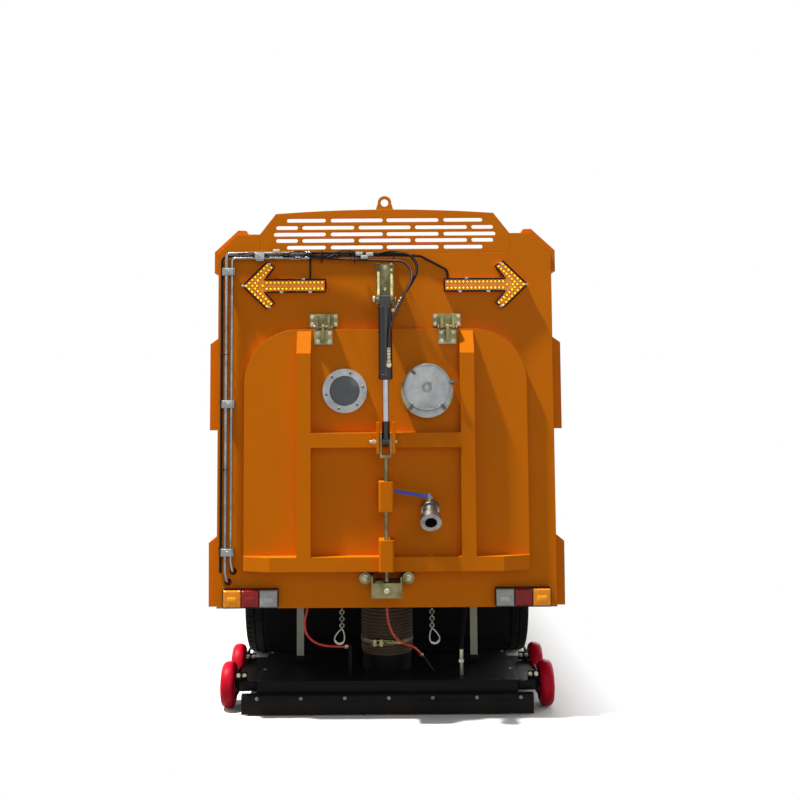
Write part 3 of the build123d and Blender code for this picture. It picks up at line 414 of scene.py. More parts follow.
# %% [markdown]
# Five hoses hang free: two serve the door's cylinder, three go down to the suction head. They could be straight
# tubes joined at bends; each is one smooth curve through its route instead, the same route as its solid has,
# because rubber hose has no corners.
# %% Free hoses
# name: finish, radius, far body, points as (x, y from the rear panel, z)
HOSES = {
    "door_hose_upper": (rubber, 0.009, "door_cylinder", [
        (-0.572, -0.034, 3.048), (-0.44, -0.034, 3.048), (-0.25, -0.046, 3.042), (-0.06, -0.059, 3.037),
        (0.05, -0.072, 3.036), (0.134, -0.084, 3.034), (0.18, -0.094, 3.01), (0.209, -0.11, 2.967),
        (0.214, -0.13, 2.915), (0.188, -0.152, 2.85), (0.15331, -0.165, 2.79677), (0.11519, -0.165, 2.73806)]),
    "door_hose_lower": (rubber, 0.009, "door_cylinder", [
        (-0.572, -0.034, 3.015), (-0.44, -0.034, 3.015), (-0.25, -0.056, 3.002), (-0.06, -0.084, 2.99),
        (0.028, -0.102, 2.986), (0.1, -0.116, 2.984), (0.148, -0.132, 2.957), (0.176, -0.156, 2.909),
        (0.176, -0.184, 2.853), (0.146, -0.204, 2.79), (0.112, -0.214, 2.722), (0.076, -0.218, 2.65),
        (0.044, -0.222, 2.572), (0.022, -0.223, 2.49), (0.022, -0.223, 2.4)]),
    "air_hose_left": (red_air, 0.008, "suction_head", [
        (-0.532, 0.2, 0.76), (-0.532, 0.2, 0.66), (-0.56, 0.204, 0.57), (-0.54, 0.208, 0.48),
        (-0.462, 0.212, 0.424), (-0.362, 0.214, 0.411), (-0.2623, 0.214, 0.411)]),
    "air_hose_middle": (red_air, 0.008, "suction_head", [
        (0, 0.13, 0.74), (0, 0.13, 0.64), (0.016, 0.14, 0.55), (0.058, 0.154, 0.474), (0.126, 0.18, 0.43),
        (0.196, 0.222, 0.4), (0.232, 0.256, 0.341)]),
    "head_hydraulic_hose": (rubber, 0.009, "suction_head", [
        (0.526, 0.24, 0.76), (0.526, 0.24, 0.66), (0.52, 0.242, 0.56), (0.504, 0.248, 0.46), (0.5, 0.25, 0.4),
        (0.5, 0.25, 0.3413)]),
}


def route_points(points):
    """The smooth line of a route, read from a NURBS spline of order three that starts and ends on its end points."""
    curve = bpy.data.curves.new("route", "CURVE")
    curve.dimensions = "3D"
    spline = curve.splines.new("NURBS")
    spline.points.add(len(points) - 1)
    spline.points.foreach_set("co", np.c_[np.array(points), np.ones(len(points))].ravel())
    spline.order_u = 3
    spline.use_endpoint_u = True
    curve.resolution_u = 12
    holder = bpy.data.objects.new("route", curve)
    line = bpy.data.meshes.new_from_object(holder)
    co = np.empty(len(line.vertices) * 3)
    line.vertices.foreach_get("co", co)
    bpy.data.objects.remove(holder)
    return co.reshape(-1, 3)


for name, (finish, r, far, points) in HOSES.items():
    points = [(x, REAR + y, z) for x, y, z in points]
    line = route_points(points)
    tube = piece(name + "_tube", [along(line, r, 14)], finish)
    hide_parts(name)
    extra = []
    if name == "head_hydraulic_hose":
        extra.append(piece(name + "_sleeve", [along(line[:-8], 0.0148, 16)], sleeve))
    if name == "door_hose_lower":
        extra.append(piece(name + "_stripe", [along(line + [0.0015, -0.0062, 0], 0.0042, 8)], stripe))
    for part in [tube] + extra:
        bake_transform(part)
# %% [markdown]
# The vehicle stands in a plain pale place. A yard could be built round it, but would colour every pale part; so
# there is a floor, one even tone of sky, and lamps. The sun stands high and almost in the plane of the rear panel,
# so it only grazes that panel, while every edge that turns up is lit. A wide, weak lamp fills from behind the
# camera. The floor is seen as white, with the shadow near the vehicle, but lights it only as dark asphalt would,
# because white ground would grey the black parts from below.
# %% Floor, backdrop and lamps
sheet = Sheet("pale_floor")
rays = sheet.node("ShaderNodeLightPath")
looked_at = rays.outputs["Is Camera Ray"]
for kind in ("Is Glossy Ray", "Is Transmission Ray"):
    looked_at = sheet.maths("MAXIMUM", looked_at, rays.outputs[kind])
sheet.put(sheet.shader.inputs["Base Color"], sheet.mix(looked_at, linear("7c7a78"), linear("f4f4f2")))
sheet.shader.inputs["Roughness"].default_value = 0.95
squares = []
for which, half_size in (("X", 1.1), ("Y", 3.75)):   # how far a point lies outside the vehicle's own rectangle
    off = sheet.maths("MAXIMUM", sheet.maths("SUBTRACT", sheet.maths("ABSOLUTE", sheet.axis(which)), half_size), 0.0)
    squares.append(sheet.maths("MULTIPLY", off, off))
away = sheet.maths("SQRT", sheet.maths("ADD", *squares))
FADE = 0.45   # metres over which the shadowed floor turns to plain white
plain = sheet.maths("MULTIPLY", sheet.band(away, 0.0, FADE), looked_at)
paper = sheet.node("ShaderNodeEmission", Strength=1.0)
paper.inputs["Color"].default_value = (1, 1, 1, 1)
blend = sheet.node("ShaderNodeMixShader")
for slot, source in enumerate((plain, sheet.shader.outputs[0], paper.outputs[0])):
    sheet.tree.links.new(source, blend.inputs[slot])
sheet.tree.links.new(blend.outputs[0], sheet.tree.nodes["Material Output"].inputs[0])
corner = np.array([[[-60, -60, -0.001], [60, -60, -0.001]], [[-60, 60, -0.001], [60, 60, -0.001]]], float)
floor = piece("floor", [(corner, False, False)], sheet.mat, smooth=False)
world = bpy.data.worlds.new("studio")
bpy.context.scene.world = world
world.use_nodes = True
wt = world.node_tree
soft = wt.nodes["Background"]
soft.inputs[0].default_value = (0.9, 0.95, 1.0, 1)
soft.inputs[1].default_value = 0.22
white = wt.nodes.new("ShaderNodeBackground")
white.inputs[0].default_value = (1, 1, 1, 1)
ray = wt.nodes.new("ShaderNodeLightPath")
seen = ray.outputs["Is Camera Ray"]
for kind in ("Is Glossy Ray", "Is Transmission Ray"):
    either = wt.nodes.new("ShaderNodeMath")
    either.operation = "MAXIMUM"
    wt.links.new(seen, either.inputs[0])
    wt.links.new(ray.outputs[kind], either.inputs[1])
    seen = either.outputs[0]
both = wt.nodes.new("ShaderNodeMixShader")
for slot, source in enumerate((seen, soft.outputs[0], white.outputs[0])):
    wt.links.new(source, both.inputs[slot])
wt.links.new(both.outputs[0], wt.nodes["World Output"].inputs[0])
# name: place, aims at, size, power, colour
LAMPS = {"sun": ((-9.7, REAR - 2.9, 27.0), (0, REAR, 1.9), 1.3, 16000, (1.0, 0.95, 0.86)),
         "fill": ((2.5, REAR - 10, 5.5), (0, REAR, 1.8), 7.0, 170, (0.98, 0.98, 1.0)),
         "left": ((-9, 0.8, 4.5), (0, 0.5, 1.5), 6.0, 260, (0.96, 0.98, 1.0)),
         "right": ((9, 0.8, 4.5), (0, 0.5, 1.5), 6.0, 420, (0.96, 0.98, 1.0)),
         "top": ((0, 1.5, 12), (0, 0.5, 0), 8.0, 650, (1.0, 0.98, 0.95)),
         "front": ((5, FRONT + 8, 6), (0, FRONT, 1.2), 6.0, 650, (1.0, 0.98, 0.95))}
for name, (at, aim, size, power, tint) in LAMPS.items():
    light = bpy.data.lights.new(name, "AREA")
    light.size, light.energy, light.color = size, power, tint
    holder = bpy.data.objects.new(name, light)
    bpy.context.scene.collection.objects.link(holder)
    holder.location = at
    way = np.array(aim, float) - np.array(at, float)
    turn = math.atan2(way[1], way[0]) - math.pi / 2
    holder.rotation_euler = (math.atan2(math.hypot(way[0], way[1]), -way[2]), 0, turn)
bpy.context.scene.view_settings.view_transform = "Standard"
print("lamps", len(LAMPS))
# %% [markdown]
# Some parts carry two finishes, such as the ball valve with its blue grip. They could be cut in two, but the CAD
# meshes stay whole; so faces are picked by where their middles lie.
# %% Faces with a finish of their own


def recolour(name, finish, test):
    """Give the faces whose middles pass a test on x, y, z another finish."""
    mesh = nodes[name].data
    middles = np.empty(len(mesh.polygons) * 3)
    mesh.polygons.foreach_get("center", middles)
    x, y, z = middles.reshape(-1, 3).T
    mesh.materials.append(finish)
    picked = test(x, y - REAR, z)
    slots = np.empty(len(mesh.polygons), int)
    mesh.polygons.foreach_get("material_index", slots)
    slots[picked] = len(mesh.materials) - 1
    mesh.polygons.foreach_set("material_index", slots)
    print(name, int(picked.sum()), "faces in", finish.name)


recolour("drain_valve", blue_grip, lambda x, y, z: (x < 0.262) & (z > 1.415))
recolour("drain_valve", brass, lambda x, y, z: (y > -0.108) & (np.hypot(x - 0.284, z - 1.37) < 0.0365))
recolour("cylinder_rod", black_gloss, lambda x, y, z: z < 1.9285)
recolour("door_ports", zinc, lambda x, y, z: (x > 0) & (y > -0.1005) & (np.hypot(x - 0.273, z - 2.12) > 0.16))
recolour("suction_head", pale_bar,
         lambda x, y, z: (abs(abs(x) - 0.612) < 0.03) & (z > 0.205) & (abs(y - 0.566) < 0.01))
recolour("suction_head", stainless, lambda x, y, z: (abs(x - 0.5) < 0.016) & (z > 0.216) & (abs(y - 0.25) < 0.016))
recolour("chassis_tanks", rim_silver, lambda x, y, z: x > 0.47)
# %% [markdown]
# Two amber arrows tell the traffic behind which side to pass. Each is a shallow box with a rim and rows of diodes
# in small cups. The diodes could be placed one by one; here the outline is walked once for the rim, and the inner
# lines are walked in even steps, so that one diode and one cup serve all places and the arrows mirror each other.
# %% Arrow lamps


def moved(grid, places):
    """The same grid set down at many places."""
    points, rows, cols = grid
    return [(points + np.array(p, float), rows, cols) for p in places]


def steps(a, b, pitch):
    """Points from a to b, evenly spaced by about a pitch."""
    a, b = np.array(a, float), np.array(b, float)
    count = max(2, int(round(np.linalg.norm(b - a) / pitch)) + 1)
    return a + np.linspace(0, 1, count)[:, None] * (b - a)


ARROW = [(0.95, 2.828), (0.79, 2.985), (0.738, 2.952), (0.806, 2.868), (0.397, 2.868), (0.397, 2.787), (0.806, 2.787),
         (0.738, 2.71), (0.79, 2.676)]
FACE = REAR - 0.034
diode = turned([(0, 0.0074), (0.003, 0.0068), (0.0055, 0.0044), (0.0066, 0)], (0, 0, 0), BACK, 8)
cup = turned([(0, 0.0118), (0.0012, 0.0113), (0.0012, 0.0076), (0, 0.0074)], (0, 0, 0), BACK, 10)
rims, diodes, cups, tabs = [], [], [], []
for side in (-1, 1):
    corners = [(side * x, FACE + 0.001, z) for x, z in ARROW]
    outline = np.concatenate([steps(a, b, 0.03)[:-1] for a, b in zip(corners, corners[1:] + corners[:1])])
    rims.append(along(outline, 0.0065, 8, closed=True))
    spots = []
    for row in (-0.021, 0.021):
        spots.append(steps((0.418, 2.828 + row), (0.79, 2.828 + row), 0.0265))
    for up in (-1, 1):
        spots.append(steps((0.926, 2.828 + up * 0.001), (0.788, 2.828 + up * 0.137), 0.0265)[0 if up > 0 else 1:])
        spots.append(steps((0.884, 2.828 + up * 0.001), (0.76, 2.828 + up * 0.123), 0.0265)[0 if up > 0 else 1:])
    spots.append(steps((0.816, 2.828), (0.856, 2.828), 0.03))
    places = [(side * x, FACE, z) for x, z in np.concatenate(spots)]
    diodes += moved(diode, places)
    cups += moved(cup, places)
    for x, z in ((0.945, 2.828), (0.775, 2.972), (0.775, 2.685), (0.545, 2.872), (0.69, 2.783), (0.5, 2.783)):
        x *= side
        tabs.append(block((x - 0.012, FACE - 0.006, z - 0.007), (x + 0.012, FACE + 0.01, z + 0.007), 0.002))
        tabs += bolt((x, FACE - 0.006, z), BACK, 0.004, False)
piece("arrow_rims", rims, black_trim, "chassis")
piece("arrow_diodes", diodes, amber_led, "chassis")
piece("arrow_cups", cups, amber_dark, "chassis")
piece("arrow_tabs", tabs, aluminium, "chassis")
# %% [markdown]
# Each rear lamp is a black tray with three lenses side by side: indicator, stop light and reversing lamp. A lens
# could be a plain box; light would slide off it as off a tile. So its height follows a squared-off dome, with a
# fine cosine for the ribs that are pressed into its face.
# %% Rear lamps


def lens_plate(low, high, rise=0.009, ribs=9):
    """A lens over a rectangle: a superellipse dome of the given rise, with cosine ribs across its width."""
    u, v = np.meshgrid(np.linspace(-1, 1, 4 * ribs + 1), np.linspace(-1, 1, 17), indexing="ij")
    dome = (1 - np.abs(u) ** 8) ** 0.25 * (1 - np.abs(v) ** 8) ** 0.25
    height = rise * dome + 0.0008 * dome * np.cos(u * ribs * np.pi)
    mid, half = (np.array(low) + high) / 2, (np.array(high) - low) / 2
    top = np.stack([mid[0] + u * half[0], REAR - 0.045 - height, mid[1] + v * half[1]], -1)
    base = top.copy()
    base[..., 1] = REAR - 0.043
    return [(top, False, False), (base, False, False),
            (np.stack([np.r_[top[0], top[1:, -1], top[-1, ::-1][1:], top[::-1, 0][1:-1]],
                       np.r_[base[0], base[1:, -1], base[-1, ::-1][1:], base[::-1, 0][1:-1]]]), False, True)]


# name: finish of the lens and of the window in it, from x, to x
CHAMBERS = {"amber": (amber, amber_bulb, 0.953, 1.066), "red": (red_lens, red_lens, 0.834, 0.948),
            "clear": (clear_lens, clear_lens, 0.713, 0.829)}
for name, (finish, inner_finish, x0, x1) in CHAMBERS.items():
    grids, inner = [], []
    for side in (-1, 1):
        low, high = sorted((side * x0, side * x1))
        grids += lens_plate((low, 0.724), (high, 0.834))
        mid = (low + high) / 2
        inner.append(block((mid - 0.03, REAR - 0.058, 0.758), (mid + 0.03, REAR - 0.05, 0.79), 0.003))
    piece("rear_lamp_" + name, grids, finish, "chassis")
    piece("rear_lamp_" + name + "_bulb_window", inner, inner_finish, "chassis")
spots = [(side * x, REAR - 0.0555, 0.779) for side in (-1, 1) for x in (0.722, 1.057)]
piece("rear_lamp_screws", bolts(spots, BACK, 0.0035, False), stainless, "chassis")
# %% [markdown]
# The door has a round sight glass under a screwed ring and a round cover held by four clamps. Above them sit the
# two hinges and the cylinder's bracket. Screws could be left to the finish, but they are what shows the size of
# these parts; so each is a hexagon on a round washer, set out by angle or from the corners of its plate.
# %% Ports, hinges and bracket
SIGHT, COVER = (-0.27, REAR - 0.064, 2.126), (0.273, REAR - 0.132, 2.148)
SCREW_RING = 0.1225
screws, sockets, clamps = [], [], []
for k in range(6):
    a = math.radians(12 + 60 * k)
    at = (SIGHT[0] + SCREW_RING * math.cos(a), SIGHT[1], SIGHT[2] + SCREW_RING * math.sin(a))
    screws.append(turned([(0, 0.0115), (0.006, 0.0115), (0.0075, 0.0095), (0.0075, 0.0062)], at, BACK, 18))
    sockets.append(turned([(0.0076, 0.0064), (0.004, 0.006), (0.004, 0)], at, BACK, 6))
piece("sight_glass_screws", screws, aluminium, "rear_door")
piece("sight_glass_sockets", sockets, black_trim, "rear_door")
gasket = turned([(-0.02, 0.0975), (0, 0.0975), (0.0015, 0.099), (0, 0.1005), (-0.02, 0.1005)],
                (SIGHT[0], REAR - 0.063, SIGHT[2]), BACK, 64)
piece("sight_glass_gasket", [gasket], black_trim, "rear_door")


def on_cover(radius, angle, y):
    """Points on the cover, by radius and angle round its middle."""
    x, z = COVER[0] + radius * np.cos(angle), COVER[2] + radius * np.sin(angle)
    return np.stack([x, np.full_like(x, y), z], -1)


a = np.linspace(0, 2.15 * 2 * np.pi, 90)
spiral = on_cover(0.034 - 0.0016 * a, a + 0.6, REAR - 0.1425)
cover_rim = turned([(-0.006, 0.1545), (0.001, 0.1535), (0.004, 0.149), (0.003, 0.143), (0, 0.14)], COVER, BACK, 72)
seams = [along(on_cover(np.array([0.03, 0.145]), angle, COVER[1] - 0.0005), 0.0014, 6) for angle in (0.78, 3.75)]
piece("port_cover_rim", [cover_rim, along(spiral, np.linspace(0.005, 0.003, 90), 8)] + seams, aluminium, "rear_door")
for x, z in ((0.182, 2.246), (0.168, 2.02), (0.378, 2.022), (0.436, 2.178)):
    d = np.array([x - COVER[0], 0, z - COVER[2]])
    d /= np.linalg.norm(d)
    foot, tip = np.array([x, REAR - 0.1, z]) + d * 0.012, np.array([x, REAR - 0.137, z]) - d * 0.014
    line = [foot + [0, 0.03, 0], foot + [0, -0.02, 0], foot + [0, -0.04, 0] - d * 0.008, tip + [0, -0.003, 0], tip]
    clamps.append(along(line, [0.008, 0.008, 0.0085, 0.009, 0.006], 10))
    clamps += bolt(foot + [0, -0.04, 0], BACK, 0.009)
piece("port_clamps", clamps, dark_steel, "rear_door")
upper, lower, pins = [], [], []
for side in (-1, 1):
    cx = side * 0.411
    upper += bolts([(cx + dx, REAR - 0.014, z) for dx in (-0.076, 0.076) for z in (2.619, 2.568)], BACK, 0.0105)
    lower += bolts([(cx + dx, REAR - 0.054, z) for dx in (-0.038, 0.038) for z in (2.51, 2.452)], BACK, 0.0105)
    for end in (-1, 1):
        pins.append(turned([(-0.004, 0.0095), (0.0, 0.015), (0.006, 0.0145), (0.009, 0.01), (0.0095, 0)],
                           (cx + end * 0.056, REAR - 0.075, 2.548), (end, 0, 0), 18))
piece("hinge_bolts_fixed", upper, zinc_bright, "chassis")
piece("hinge_bolts_moving", lower, zinc_bright, "rear_door")
piece("hinge_pin_heads", pins, zinc_bright, "chassis")
CYL_Y, PIVOT_Z, CLEVIS_Z = REAR - 0.165, 2.723, 1.796
bracket = bolts([(0, REAR - 0.012, 2.948), (0, REAR - 0.012, 2.8)], BACK, 0.012)
bracket.append(turned([(-0.004, 0.02), (0, 0.024), (0.012, 0.024), (0.016, 0.02), (0.017, 0)],
                      (-0.066, CYL_Y, PIVOT_Z), LEFT, 20))
bracket.append(turned([(-0.004, 0.018), (0, 0.02), (0.004, 0.019), (0.005, 0)], (0.066, CYL_Y, PIVOT_Z), RIGHT, 20))
bracket += bolt((0, CYL_Y - 0.03, 0.853), BACK, 0.012)
bracket += bolts([(x, REAR - 0.07, 0.912) for x in (-0.14, 0.14)], BACK, 0.014)
piece("bracket_bolts", bracket, zinc_bright, "chassis")
clevis = [turned([(-0.002, 0.014), (0.012, 0.0135), (0.012, 0.021), (0.02, 0.021), (0.023, 0.013), (0.044, 0.0125),
                  (0.047, 0.009), (0.0475, 0)], (-0.062, CYL_Y, CLEVIS_Z), LEFT, 20),
          turned([(-0.002, 0.014), (0.01, 0.013), (0.013, 0.009), (0.0135, 0)], (0.062, CYL_Y, CLEVIS_Z), RIGHT, 20)]
piece("clevis_pin_heads", clevis, zinc_bright, "rear_door")
# %% [markdown]
# Hydraulic hose is held by a sleeve crimped on to it: the jaws leave shallow grooves, and a hexagon behind takes
# the spanner. A plain tube would do from afar, but these ends sit in the middle of the picture; so the radius dips
# with a cosine in each groove. Clip plates hold the pipes, and thin wires wander along them under ties: each wire
# is a sine with its own beat.
# %% Hose ends and pipe fittings
def crimp(at, direction, length, r=0.0135, grooves=4):
    """A sleeve whose radius dips at each groove, with a hexagon behind it."""
    t = np.linspace(0, 1, 6 * grooves + 1)
    body = np.c_[t * length, r - 0.0016 * (0.5 - 0.5 * np.cos(2 * np.pi * grooves * t))]
    return [turned([(0, r * 0.7)] + body.tolist() + [(length, r * 0.66)], at, direction, 22),
            turned([(-0.012, r * 0.9), (-0.012, r * 1.12), (-0.001, r * 1.12), (-0.001, r * 0.7)], at, direction, 6)]


CRIMP_LEAN = math.radians(33)
lean = np.array([math.sin(CRIMP_LEAN), 0, math.cos(CRIMP_LEAN)])
port = np.array([0.058, CYL_Y, 2.65])
ends = crimp(port + lean * 0.028, lean, 0.079) + crimp((0.022, CYL_Y - 0.058, 2.318), UP, 0.084)
for at, way in (((0.066, CYL_Y, 2.65), RIGHT), ((0.022, CYL_Y - 0.066, 2.29), BACK)):
    ends += bolt(at, way, 0.011)
    ends.append(turned([(-0.024, 0.0165), (-0.003, 0.0165), (0, 0.015), (0.001, 0)], at, way, 20))
piece("cylinder_hose_ends", ends, zinc_bright, "door_cylinder")
gland = turned([(0, 0.0455), (0.002, 0.047), (0.022, 0.047), (0.024, 0.0455)], (0, CYL_Y, 2.205), UP, 32)
wiper = turned([(0, 0.0445), (0.003, 0.044), (0.008, 0.03), (0.009, 0.0205)], (0, CYL_Y, 2.204), (0, 0, -1), 32)
piece("cylinder_gland", [gland, wiper], black_gloss, "door_cylinder")
fittings = []
for z in (3.048, 3.015):
    fittings += crimp((-0.567, REAR - 0.034, z), RIGHT, 0.062, 0.0128)
    fittings += [turned([(0, 0.009), (0, 0.0148), (0.016, 0.0148), (0.018, 0.009)], (x, REAR - 0.034, z), RIGHT, 6)
                 for x in (-0.6, -0.625)]
piece("pipe_fittings", fittings, silver_steel, "chassis")
clips = []
for x, z in ((-1.042, 2.924), (-1.042, 2.044), (-1.042, 1.079), (-0.835, 3.026)):
    clips.append(block((x - 0.032, REAR - 0.056, z - 0.022), (x + 0.032, REAR - 0.048, z + 0.022), 0.003))
    clips += bolt((x, REAR - 0.056, z), BACK, 0.009)
piece("clip_plates", clips, aluminium, "chassis")
ties, wires = [], []
loop = [(-1.105, -0.02), (-1.1, -0.004), (-1.06, -0.006), (-1.044, -0.034), (-1.057, -0.047), (-1.085, -0.036)]
for z in (2.372, 2.06, 1.612, 1.102):
    ties.append(along([(x, REAR + y, z) for x, y in loop], 0.0028, 6, closed=True))
loop = [(-0.1, 2.985), (-0.06, 2.975), (-0.03, 3.0), (-0.03, 3.05), (-0.07, 3.062), (-0.1, 3.04)]
for x in (-0.42, -0.2, 0.06):
    ties.append(along([(x, REAR + y, z) for y, z in loop], 0.003, 6, closed=True))
t = np.linspace(0, 1, 120)
# from x, to x, height, swing, radius
for k, (x0, x1, z0, swing, r) in enumerate(((-0.98, 0.14, 3.04, 0.018, 0.0042), (-0.9, -0.12, 3.03, 0.022, 0.0034),
                                            (-0.7, 0.2, 3.026, 0.014, 0.003))):
    x = x0 + (x1 - x0) * t
    z = z0 + swing * np.sin(7 * np.pi * t + 2 * k) * np.sin(np.pi * t) ** 0.5
    y = REAR - 0.052 - 0.024 * np.clip((x + 0.5) / 0.6, 0, 1) - 0.006 * np.cos(9 * np.pi * t + k)
    wires.append(along(np.stack([x, y, z], 1), r, 8))
piece("lamp_wires", wires, black_trim, "chassis")
piece("cable_ties", ties, black_trim, "chassis")
plugs = [block((x - 0.024, REAR - 0.088, z - 0.012), (x + 0.024, REAR - 0.066, z + 0.012), 0.004)
         for x, z in ((-0.17, 3.034), (-0.135, 3.012), (-0.1, 3.03), (-0.72, 3.054))]
piece("wire_plugs", plugs, pale_plastic, "chassis")
# %% [markdown]
# The head is a wide box on four wheels that draws the dirt up through the ribbed hose. A rubber flap hangs behind
# it under a clamp strip with seven dome bolts, and bent plates hold its wheels. The hose's ribs could be rings, but
# such hose is wound from one wire, so its radius follows a cosine of height less angle, which gives a helix. A band
# with a T-bolt draws it on to its collar.
# %% Suction head
HEAD = "suction_head"


def dome(at, direction, r=0.012, rise=0.008):
    """A low round bolt head: a straight rim and then a quarter-circle crown."""
    t = np.linspace(0, np.pi / 2, 5)
    crown = [(0.3 * rise + 0.7 * rise * math.sin(a), r * math.cos(a)) for a in t]
    return turned([(0, r)] + crown, at, direction, 16)


strips = [block((-0.962, REAR + 0.07, 0.094), (0.962, REAR + 0.0765, 0.132), 0.002),
          block((-0.865, REAR + 0.103, 0.204), (0.865, REAR + 0.125, 0.217), 0.004),
          block((-0.962, REAR + 0.084, 0.13), (0.962, REAR + 0.112, 0.138), 0.003)]
piece("flap_strips", strips, head_black, HEAD)
domes = [dome((-0.859 + 0.2893 * k, REAR + 0.07, 0.113), BACK, 0.0135) for k in range(7)]
piece("flap_bolts", domes, dark_steel, HEAD)
plates, plate_bolts = [], []
for side in (-1, 1):
    for y in (REAR + 0.28, REAR + 0.78):
        plates.append(block((side * 0.999, y - 0.075, 0.1), (side * 1.011, y + 0.075, 0.252), 0.004))
        plates.append(block((side * 0.94, y - 0.082, 0.198), (side * 1.011, y - 0.072, 0.252), 0.003))
        plate_bolts += bolts([(side * x, y - 0.082, z) for x, z in ((0.957, 0.228), (0.998, 0.23))], BACK, 0.0095)
        plate_bolts += bolt((side * 0.984, y, 0.15), (-side, 0, 0), 0.016)
    plate_bolts += bolts([(side * 0.84, y, 0.2135) for y in (REAR + 0.4, REAR + 0.86)], UP, 0.009)
    plates.append(block((side * 0.646, REAR + 0.548, 0.2), (side * 0.578, REAR + 0.584, 0.268), 0.004))
    plates.append(block((side * 0.87, REAR + 0.135, 0.15), (side * 0.985, REAR + 0.2, 0.2), 0.006))
piece("head_plates", plates, head_black, HEAD)
piece("head_plate_bolts", plate_bolts, zinc_bright, HEAD)
low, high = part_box("suction_hose")
HOSE_AT, HOSE_R = (low[1] + high[1]) / 2, (high[0] - low[0]) / 2
PITCH = 0.0235   # of the wire in the hose
u, v = np.meshgrid(np.linspace(0, 1, int((high[2] - low[2]) / PITCH * 8)),
                   np.linspace(0, 2 * np.pi, 96, endpoint=False), indexing="ij")
z = low[2] + u * (high[2] - low[2])
wave = (np.cos(2 * np.pi * z / PITCH - v) * 0.5 + 0.5) ** 0.6
r = HOSE_R - 0.0085 + 0.0082 * wave * np.clip(np.minimum(u, 1 - u) * 30, 0, 1)
outer = np.stack([r * np.cos(v), HOSE_AT + r * np.sin(v), z], -1)
inner = np.stack([(HOSE_R - 0.0112) * np.cos(v), HOSE_AT + (HOSE_R - 0.0112) * np.sin(v), z], -1)[::8]
ribbed = piece("suction_hose_ribs", [(np.concatenate([outer, inner[::-1]]), True, True)], hose_rib)
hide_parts("suction_hose")
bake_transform(ribbed)
section = [(-0.013, HOSE_R - 0.004), (-0.013, HOSE_R + 0.0012), (0.013, HOSE_R + 0.0012), (0.013, HOSE_R - 0.004)]
band = turned(section, (0, HOSE_AT, 0.412), UP, 96)
reach = float(HOSE_AT) - HOSE_R
clamp = [block((x - 0.012, reach - 0.024, 0.388), (x + 0.012, reach + 0.012, 0.436), 0.003) for x in (-0.084, -0.04)]
for z in (0.398, 0.426):
    clamp.append(along([(-0.112, reach - 0.01, z), (0.0, reach - 0.01, z), (0.044, reach - 0.01, z)], 0.0045, 10))
clamp += bolt((-0.028, reach - 0.01, 0.412), RIGHT, 0.013)
barrel_nut = [(0, 0.013), (0.026, 0.013), (0.028, 0.009), (0.028, 0)]
clamp.append(turned(barrel_nut, (0.006, reach - 0.01, 0.412), RIGHT, 12))
clamp.append(block((-0.004, reach - 0.006, 0.4), (0.11, reach + 0.03, 0.424), 0.003))
piece("hose_band", [band], dark_steel, HEAD)
piece("hose_band_bolt", clamp, zinc, HEAD)
# %% [markdown]
# Two short chains end in snap hooks, bent from wire to a pear shape. A turned ring would be too round; here the
# half width follows the sine of the angle, drawn in towards the top. The unions of the air lines are turned
# hexagons.
# %% Chain hooks and hose unions
hooks = []
for side in (-1, 1):
    a = np.linspace(0, 2 * np.pi, 40, endpoint=False)
    width = 0.03 * (1 - 0.45 * np.cos(a))
    x, z = width * np.sin(a), 0.05 * np.cos(a)
    c, s = math.cos(side * 0.25), math.sin(side * 0.25)   # the hook hangs a little askew
    points = np.stack([side * 0.3124 + x * c - z * s, np.full_like(a, REAR + 0.13), 0.496 + x * s + z * c], 1)
    hooks.append(along(points, 0.0048, 8, closed=True))
    hooks.append(along([points[26], points[20] + [0, -0.004, 0.004], points[14]], 0.0055, 8))
piece("chain_hooks", hooks, stainless, "chassis")
unions = []
for at, way in (((-0.532, REAR + 0.2, 0.7), UP), ((0, REAR + 0.13, 0.69), UP)):
    unions.append(turned([(0, 0.0095), (0, 0.014), (0.02, 0.014), (0.022, 0.011), (0.04, 0.011), (0.042, 0.0095)],
                         at, way, 6))
piece("air_unions_top", unions, zinc_bright, "chassis")
# section, place, axis, sides
UNIONS = (([(0, 0.0095), (0, 0.0135), (0.022, 0.0135), (0.024, 0.0095)], (-0.262, REAR + 0.214, 0.411), LEFT, 6),
          ([(-0.03, 0.0098), (-0.03, 0.0138), (0.028, 0.0138), (0.03, 0.0098)], (0.5, REAR + 0.25, 0.352), UP, 20),
          ([(0, 0.0142), (0, 0.019), (0.02, 0.019), (0.022, 0.0142)], (0.5, REAR + 0.25, 0.296), UP, 6),
          ([(-0.012, 0.0088), (-0.012, 0.0142), (0.012, 0.0142), (0.014, 0.0132)], (0.232, REAR + 0.256, 0.341),
           (0.036, 0.034, -0.059), 6))
piece("hose_unions_head", [turned(*union) for union in UNIONS], zinc_bright, HEAD)
